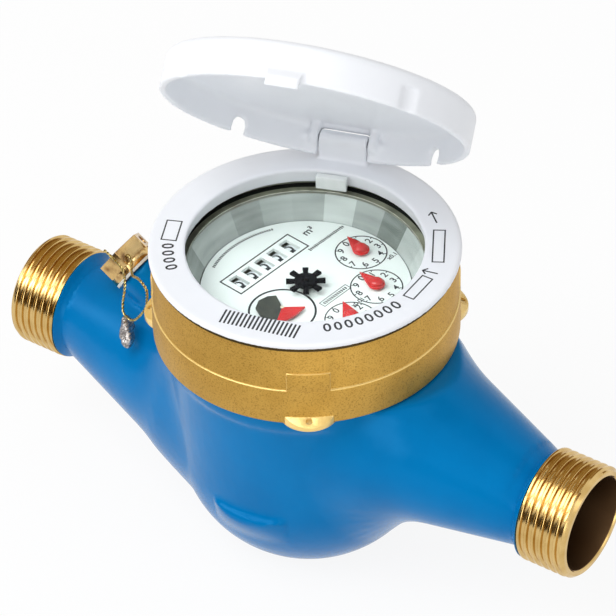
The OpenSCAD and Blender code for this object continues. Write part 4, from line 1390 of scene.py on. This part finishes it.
@dataclass
class Register:
    """The dial, its print, the counter and the hands; sizes in millimetres in the dial's frame."""

    turn: float = 82.0  # reading direction, in degrees
    face_z: float = 82.6  # height of the dial's face
    ink: float = 0.03  # thickness of the print
    counter_v: float = 15.7  # how far the counter is up the dial
    counter: Pair = (28.0, 8.0)  # width and height of the counter's frame
    drums: int = 5  # how many drums the counter has
    drum_pitch: float = 5.2  # spacing of the drums
    drum_r: float = 4.2  # radius of a drum
    drum_z: float = 77.2  # height of the drums' axle
    drum_type: Pair = (3.7, 0.04)  # height of a drum's figures, and their thickness
    # place and radius of each small dial, from the slowest hand
    dials: tuple[Point, ...] = (
        (21.6, -1.5, 7.3), (13.1, -14.8, 7.3), (-2.1, -18.8, 7.3), (-12.0, -2.0, 9.3)
    )
    # what each small dial counts, and where that is printed
    factors: tuple[tuple[str, float, float], ...] = (
        ("x0.1", 26.2, -9.2), ("x0.01", 4.6, -15.4), ("x0.001", -11.6, -20.0)
    )
    hand_z: float = 83.4  # height of the hands
    # number and direction in degrees of each drop-shaped hand
    hands: tuple[tuple[int, float], ...] = ((4, 76.0), (3, 85.0), (2, 62.0))
    star_z: float = 84.4  # height of the star wheel
    star_turn: float = -13.25  # its turn on the dial, in degrees

    def at(self, u: float, v: float, z: float, turn_deg: float = 0.0) -> Matrix:
        """A place along and up the dial at a height, with an extra turn about the upright axis."""
        return turned(self.turn) @ shift(u, v, z) @ turned(turn_deg)

    def line_ring(self, bm: BMesh, u: float, v: float, r: float, width: float) -> None:
        """Prints a circle.

        Args:
            bm: The print.
            u: Its middle along the reading direction.
            v: Its middle up the dial.
            r: Its radius.
            width: Width of the line.
        """
        low, high = self.ink / 2, self.ink * 1.5
        inner, outer = r - width / 2, r + width / 2
        ring = spun("ring", ((inner, low), (outer, low), (outer, high), (inner, high)), 64)
        add_mesh(bm, ring, self.at(u, v, self.face_z))

    def bar(self, bm: BMesh, u: float, v: float, size: Pair, turn_deg: float = 0.0) -> None:
        """Prints a bar of a length and width on the dial, with its turn in degrees."""
        placed_box(bm, (*size, self.ink), self.at(u, v, self.face_z + self.ink, turn_deg))

    def boxed(self, bm: BMesh, middle: Pair, half: Pair, bars: Pair, line: float) -> None:
        """Prints a frame of four bars.

        Args:
            bm: The print.
            middle: Its middle.
            half: How far its bars lie from there, along and up the dial.
            bars: Length of its level bars and of its upright ones.
            line: Width of the line.
        """
        u, v = middle
        for side in (-1, 1):
            self.bar(bm, u, v + side * half[1], (bars[0], line))
            self.bar(bm, u + side * half[0], v, (line, bars[1]))

    def word(self, bm: BMesh, text: str, u: float, v: float, height: float) -> None:
        """Prints figures of a height at a place on the dial."""
        add_mesh(bm, figures(text, height, self.ink), self.at(u, v, self.face_z + self.ink))

    def printing(self) -> None:
        """Prints the dial: frame, circles, figures, unit, and bars for the small print."""
        bm = bmesh.new()
        wide, high = self.counter
        line = 0.42
        self.boxed(bm, (0, self.counter_v), (wide / 2, high / 2), (wide + line, high), line)
        self.word(bm, "m³", u=19.0, v=16.2, height=2.6)
        type_at, tick_at = 0.76, 0.95
        for u, v, r in self.dials[:-1]:
            self.line_ring(bm, u, v, r, width=0.38)
            for n in range(FIGURES):
                turn = 90 - 360 // FIGURES * n
                east, north = math.cos(math.radians(turn)) * r, math.sin(math.radians(turn)) * r
                self.word(bm, str(n), u + east * type_at, v + north * type_at, height=2.15)
                self.bar(bm, u + east * tick_at, v + north * tick_at, (0.7, 0.26), turn)
        self.line_ring(bm, *self.dials[-1], width=0.6)
        for text, u, v in self.factors:
            self.word(bm, text, u, v, height=1.5)
        arc_r, arc_from, arc_step = 27.6, 112, 1.5
        for i in range(34):
            turn = arc_from - arc_step * i
            angle = math.radians(turn)
            self.bar(bm, arc_r * math.cos(angle), arc_r * math.sin(angle), (0.42, 0.85), turn - 90)
        row_u, row_v, row_step = 13.0, 10.2, 0.66
        for i in range(22):
            self.bar(bm, row_u + row_step * i, row_v, (0.4, 0.9 if i % 4 else 1.2))
        row_u, row_v, row_step = -1.8, -8.6, 0.8
        self.boxed(bm, (2.6, row_v), half=(5.4, 1.05), bars=(11.0, 2.1), line=0.22)
        for i in range(12):
            self.bar(bm, row_u + row_step * i, row_v, (0.45, 1.0))
        new_piece("dial_print", to_mesh("dial_print", bm), INK, METER)

    def wrapped(self, figure: int, u: float) -> Callable[[np.ndarray], np.ndarray]:
        """The rule that bends one flat figure round a drum.

        Args:
            figure: The figure.
            u: The drum's middle along the reading direction.

        Returns:
            The rule.
        """

        def rule(p: np.ndarray) -> np.ndarray:
            """Bends flat points round the drum.

            Args:
                p: The points.

            Returns:
                Their new places.
            """
            angle = p[:, 1] / self.drum_r + math.radians(360 // FIGURES * figure)
            r = self.drum_r + self.ink + p[:, 2]
            v, z = self.counter_v + r * np.sin(angle), self.drum_z + r * np.cos(angle)
            return np.stack([u + p[:, 0], v, z], axis=1)

        return rule

    def drum_figures(self) -> None:
        """Puts the figures 0 to 9 round each drum."""
        for i in range(self.drums):
            bm = bmesh.new()
            for n in range(FIGURES):
                rule = self.wrapped(n, (self.drums // 2 - i) * self.drum_pitch)
                add_mesh(bm, moved(figures(str(n), *self.drum_type), rule), turned(self.turn))
            name = f"drum_{i + 1}_figures"
            new_piece(name, to_mesh(name, bm), INK, f"number_{i + 1}")

    def star(self) -> None:
        """Makes the black star wheel: a hub with square arms that widen outward."""
        arms, hub_r, reach, thick, widen, edge = 8, 3.3, 2.3, 0.9, 1.35, 0.12
        bm = bmesh.new()
        bmesh.ops.create_circle(bm, cap_ends=True, segments=2 * arms, radius=hub_r * MM)
        pushed(bm, bm.faces[:], (0, 0, thick * MM))
        bm.normal_update()
        sides = [f for f in bm.faces if abs(f.normal.z) < 0.1]
        sides.sort(key=lambda f: math.atan2(f.calc_center_median().y, f.calc_center_median().x))
        for face in sides[::2]:
            push = face.normal * (reach * MM)
            ends = pushed(bm, [face], push)
            middle = Matrix.Translation(face.calc_center_median()) @ Matrix.Translation(push)
            bmesh.ops.scale(bm, vec=(widen, widen, 1), space=middle.inverted(), verts=ends)
            bmesh.ops.delete(bm, geom=[face], context="FACES_ONLY")
        bmesh.ops.recalc_face_normals(bm, faces=bm.faces)
        rounded(bm, sharp_edges(bm, 0.6), edge)
        bmesh.ops.transform(bm, matrix=self.at(0, 0, self.star_z, self.star_turn), verts=bm.verts)
        mesh = to_mesh("star", bm)
        star = new_piece("star_wheel_moulding", mesh, BLACK_PLASTIC, "magnet_shaft")
        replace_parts(star, "star_wheel")

    def hand(self, number: int, u: float, v: float, angle: float) -> None:
        """Makes a drop-shaped hand with a domed boss.

        Args:
            number: The hand's number.
            u: Its arbor along the reading direction.
            v: Its arbor up the dial.
            angle: Where it points, in degrees.
        """
        head, reach, thick, rim, boss_r, dome = 2.4, 6.9, 0.7, 0.22, 2.0, 0.7
        edge = math.acos(head / reach)
        bm = bmesh.new()
        bmesh.ops.create_circle(bm, cap_ends=True, segments=48, radius=head * MM)
        for vert in bm.verts:
            a = math.atan2(vert.co.y, vert.co.x)
            if abs(a) < edge:
                vert.co *= 1 / math.cos(abs(a) - edge)
        top = pushed(bm, bm.faces[:], (0, 0, thick * MM))
        bm.normal_update()
        rounded(bm, [e for e in bm.edges if e.verts[0] in top and e.verts[1] in top], rim)
        boss = bmesh.ops.create_uvsphere(bm, u_segments=32, v_segments=16, radius=boss_r * MM)["verts"]
        bmesh.ops.scale(bm, vec=(1, 1, dome), verts=boss)
        bmesh.ops.translate(bm, vec=(0, 0, thick * MM), verts=boss)
        bmesh.ops.transform(bm, matrix=self.at(u, v, self.hand_z, angle), verts=bm.verts)
        name = f"hand_{number}_moulding"
        piece = new_piece(name, to_mesh(name, bm), RED_PLASTIC, f"hand_{number}")
        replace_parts(piece, f"pointer_{number}")

    def build(self) -> None:
        """Makes the print and the moving pieces, and dresses the fixed ones."""
        self.printing()
        self.drum_figures()
        self.star()
        for number, angle in self.hands:
            u, v, _ = self.dials[len(self.dials) - number]
            self.hand(number, u, v, angle)
        gears = ("lower_plate", "upper_plate", "magnet_arbor", "transfer_gear", "worm_arbor", "worm")
        for node, finish in (
            ("window", GLASS),
            ("window_gasket", WINDOW_SEAL),
            ("register_cup", CUP_PLASTIC),
            ("dial", DIAL_FACE),
            ("pointer_1", RED_PLASTIC),
            ("target_disc", TARGET_METAL),
            ("drum_axle", STEEL),
            ("follower_magnet", SINTER),
            *((f"drum_{i}", DRUM_PLASTIC) for i in range(1, self.drums + 1)),
            *((f"{kind}_gear_{i}", GEAR_PLASTIC) for kind in ("idler", "pointer") for i in range(1, 5)),
            *((node, GEAR_PLASTIC) for node in gears),
        ):
            dress_node(node, finish)


@dataclass
class Closure:
    """The regulating plug, its washer, the sealing wire and the lead seal; sizes in millimetres."""

    plug_edge: float = 0.15  # rounding of the plug's edges
    # points that the wire follows
    route: tuple[Point, ...] = (
        (-59.6, -4.2, 71.4), (-57.2, -5.6, 72.6), (-55.6, -7.4, 69.6), (-52.0, -11.6, 72.2),
        (-46.6, -15.8, 76.2), (-43.4, -17.0, 75.0), (-43.2, -17.0, 71.6), (-43.8, -17.4, 67.6),
        (-48.0, -17.4, 61.6), (-53.2, -15.0, 59.8), (-55.4, -12.6, 61.0), (-56.6, -9.6, 65.6),
        (-58.0, -8.6, 69.6), (-61.0, -8.6, 72.4), (-64.4, -8.4, 74.0),
    )
    strand_r: float = 0.22  # radius of one strand
    lay: float = 2.2  # length of one twist of the strands
    # direction of the first strand from the second where the wire starts
    strand_from: Point = (0.3, 0.8, -0.52)
    seal_at: Point = (-51.2, -16.8, 55.4)  # middle of the lead seal
    seal_axis: Point = (0.53, -0.69, -0.5)  # direction of its length
    seal_half: Point = (2.25, 2.1, 5.1)  # half its width, thickness and length

    def centreline(self, steps: int = 16) -> list[Vector]:
        """Points along the smooth route of the wire.

        Args:
            steps: Points between two of the route's own.

        Returns:
            The points.
        """
        ends = [Vector(p) for p in (self.route[0], *self.route, self.route[-1])]
        line: list[Vector] = []
        for a, b, c, d in zip(ends, ends[1:], ends[2:], ends[3:]):
            square, cube = 2 * a - 5 * b + 4 * c - d, 3 * b - a - 3 * c + d
            for j in range(steps):
                t = j / steps
                line.append(0.5 * (2 * b + (c - a) * t + square * t * t + cube * t**3))
        line.append(ends[-1])
        return line

    def wire(self) -> None:
        """Twists two strands along the route."""
        line = self.centreline()
        curve = bpy.data.curves.new("seal_wire_strands", "CURVE")
        curve.dimensions = "3D"
        curve.bevel_depth = self.strand_r * MM
        curve.bevel_resolution = 1
        curve.use_fill_caps = True
        for phase in (0.0, math.pi):
            run = 0.0
            normal = Vector(self.strand_from).normalized()
            spline = curve.splines.new("POLY")
            spline.points.add(len(line) - 1)
            for i, p in enumerate(line):
                along = (line[min(i + 1, len(line) - 1)] - line[max(i - 1, 0)]).normalized()
                normal = (normal - along * normal.dot(along)).normalized()
                run += (p - line[i - 1]).length if i else 0.0
                turn = phase + math.tau * run / self.lay
                out = normal * math.cos(turn) + along.cross(normal) * math.sin(turn)
                spline.points[i].co = (*((p + out * self.strand_r) * MM), 1)
        mesh = from_curve("seal_wire_twist", curve)
        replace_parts(new_piece("seal_wire_twist", mesh, WIRE_METAL, METER), "seal_wire")

    def seal(self) -> None:
        """Makes the crushed lead seal."""
        bm = bmesh.new()
        bmesh.ops.create_icosphere(bm, subdivisions=5, radius=1.0)
        lying = Vector(self.seal_axis).normalized().to_track_quat("Z", "Y").to_matrix()
        wide, thick, long = self.seal_half
        for vert in bm.verts:
            d = vert.co.copy()
            turn = math.atan2(d.y, d.x)
            pinch = 1 - 0.14 * math.sin(3 * turn + 2.2 * d.z) * (1 - d.z * d.z)
            pinch *= 1 - 0.09 * math.sin(7.0 * d.z + 2.0 * d.x)
            pinch *= 1 - 0.13 * abs(math.sin(5 * d.x + 9 * d.y * d.z + 6 * d.z)) * (1 - d.z * d.z)
            shape = Vector((d.x * wide * pinch, d.y * thick * pinch, d.z * long))
            vert.co = (lying @ shape + Vector(self.seal_at)) * MM
        piece = new_piece("lead_seal_crushed", to_mesh("lead_seal_crushed", bm, 80.0), LEAD, METER)
        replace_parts(piece, "lead_seal")

    def build(self) -> None:
        """Makes the plug, the wire and the seal, and dresses the washer."""
        plug = new_piece("plug_turned", crisp("plug", self.plug_edge), TURNED_BRASS, METER)
        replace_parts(plug, "plug")
        dress_node("plug_washer", FIBRE)
        self.wire()
        self.seal()


@dataclass
class Works:
    """The pieces inside the body, finished plainly."""

    # each node's finish
    finishes: dict[str, Finish] = field(
        default_factory=lambda: {
            "pressure_plate": PLATE_BRASS,
            "head_gasket": RUBBER,
            "chamber_top": CHAMBER_PLASTIC,
            "jet_basket": CHAMBER_PLASTIC,
            "strainer": CHAMBER_PLASTIC,
            "impeller": CHAMBER_PLASTIC,
            "spindle": STEEL,
            "drive_magnet": SINTER,
            "pivot_pin": STEEL,
            "regulating_screw": PLATE_BRASS,
        }
    )

    def dress(self) -> None:
        """Dresses the inner nodes."""
        for node, finish in self.finishes.items():
            dress_node(node, finish)


def main() -> None:
    """Builds the meter in order."""
    logging.basicConfig(level=logging.INFO, format="%(name)s %(message)s")
    Studio().build()
    Casting().build()
    Head().build()
    Register().build()
    Closure().build()
    Works().dress()


if __name__ == "__main__":
    main()
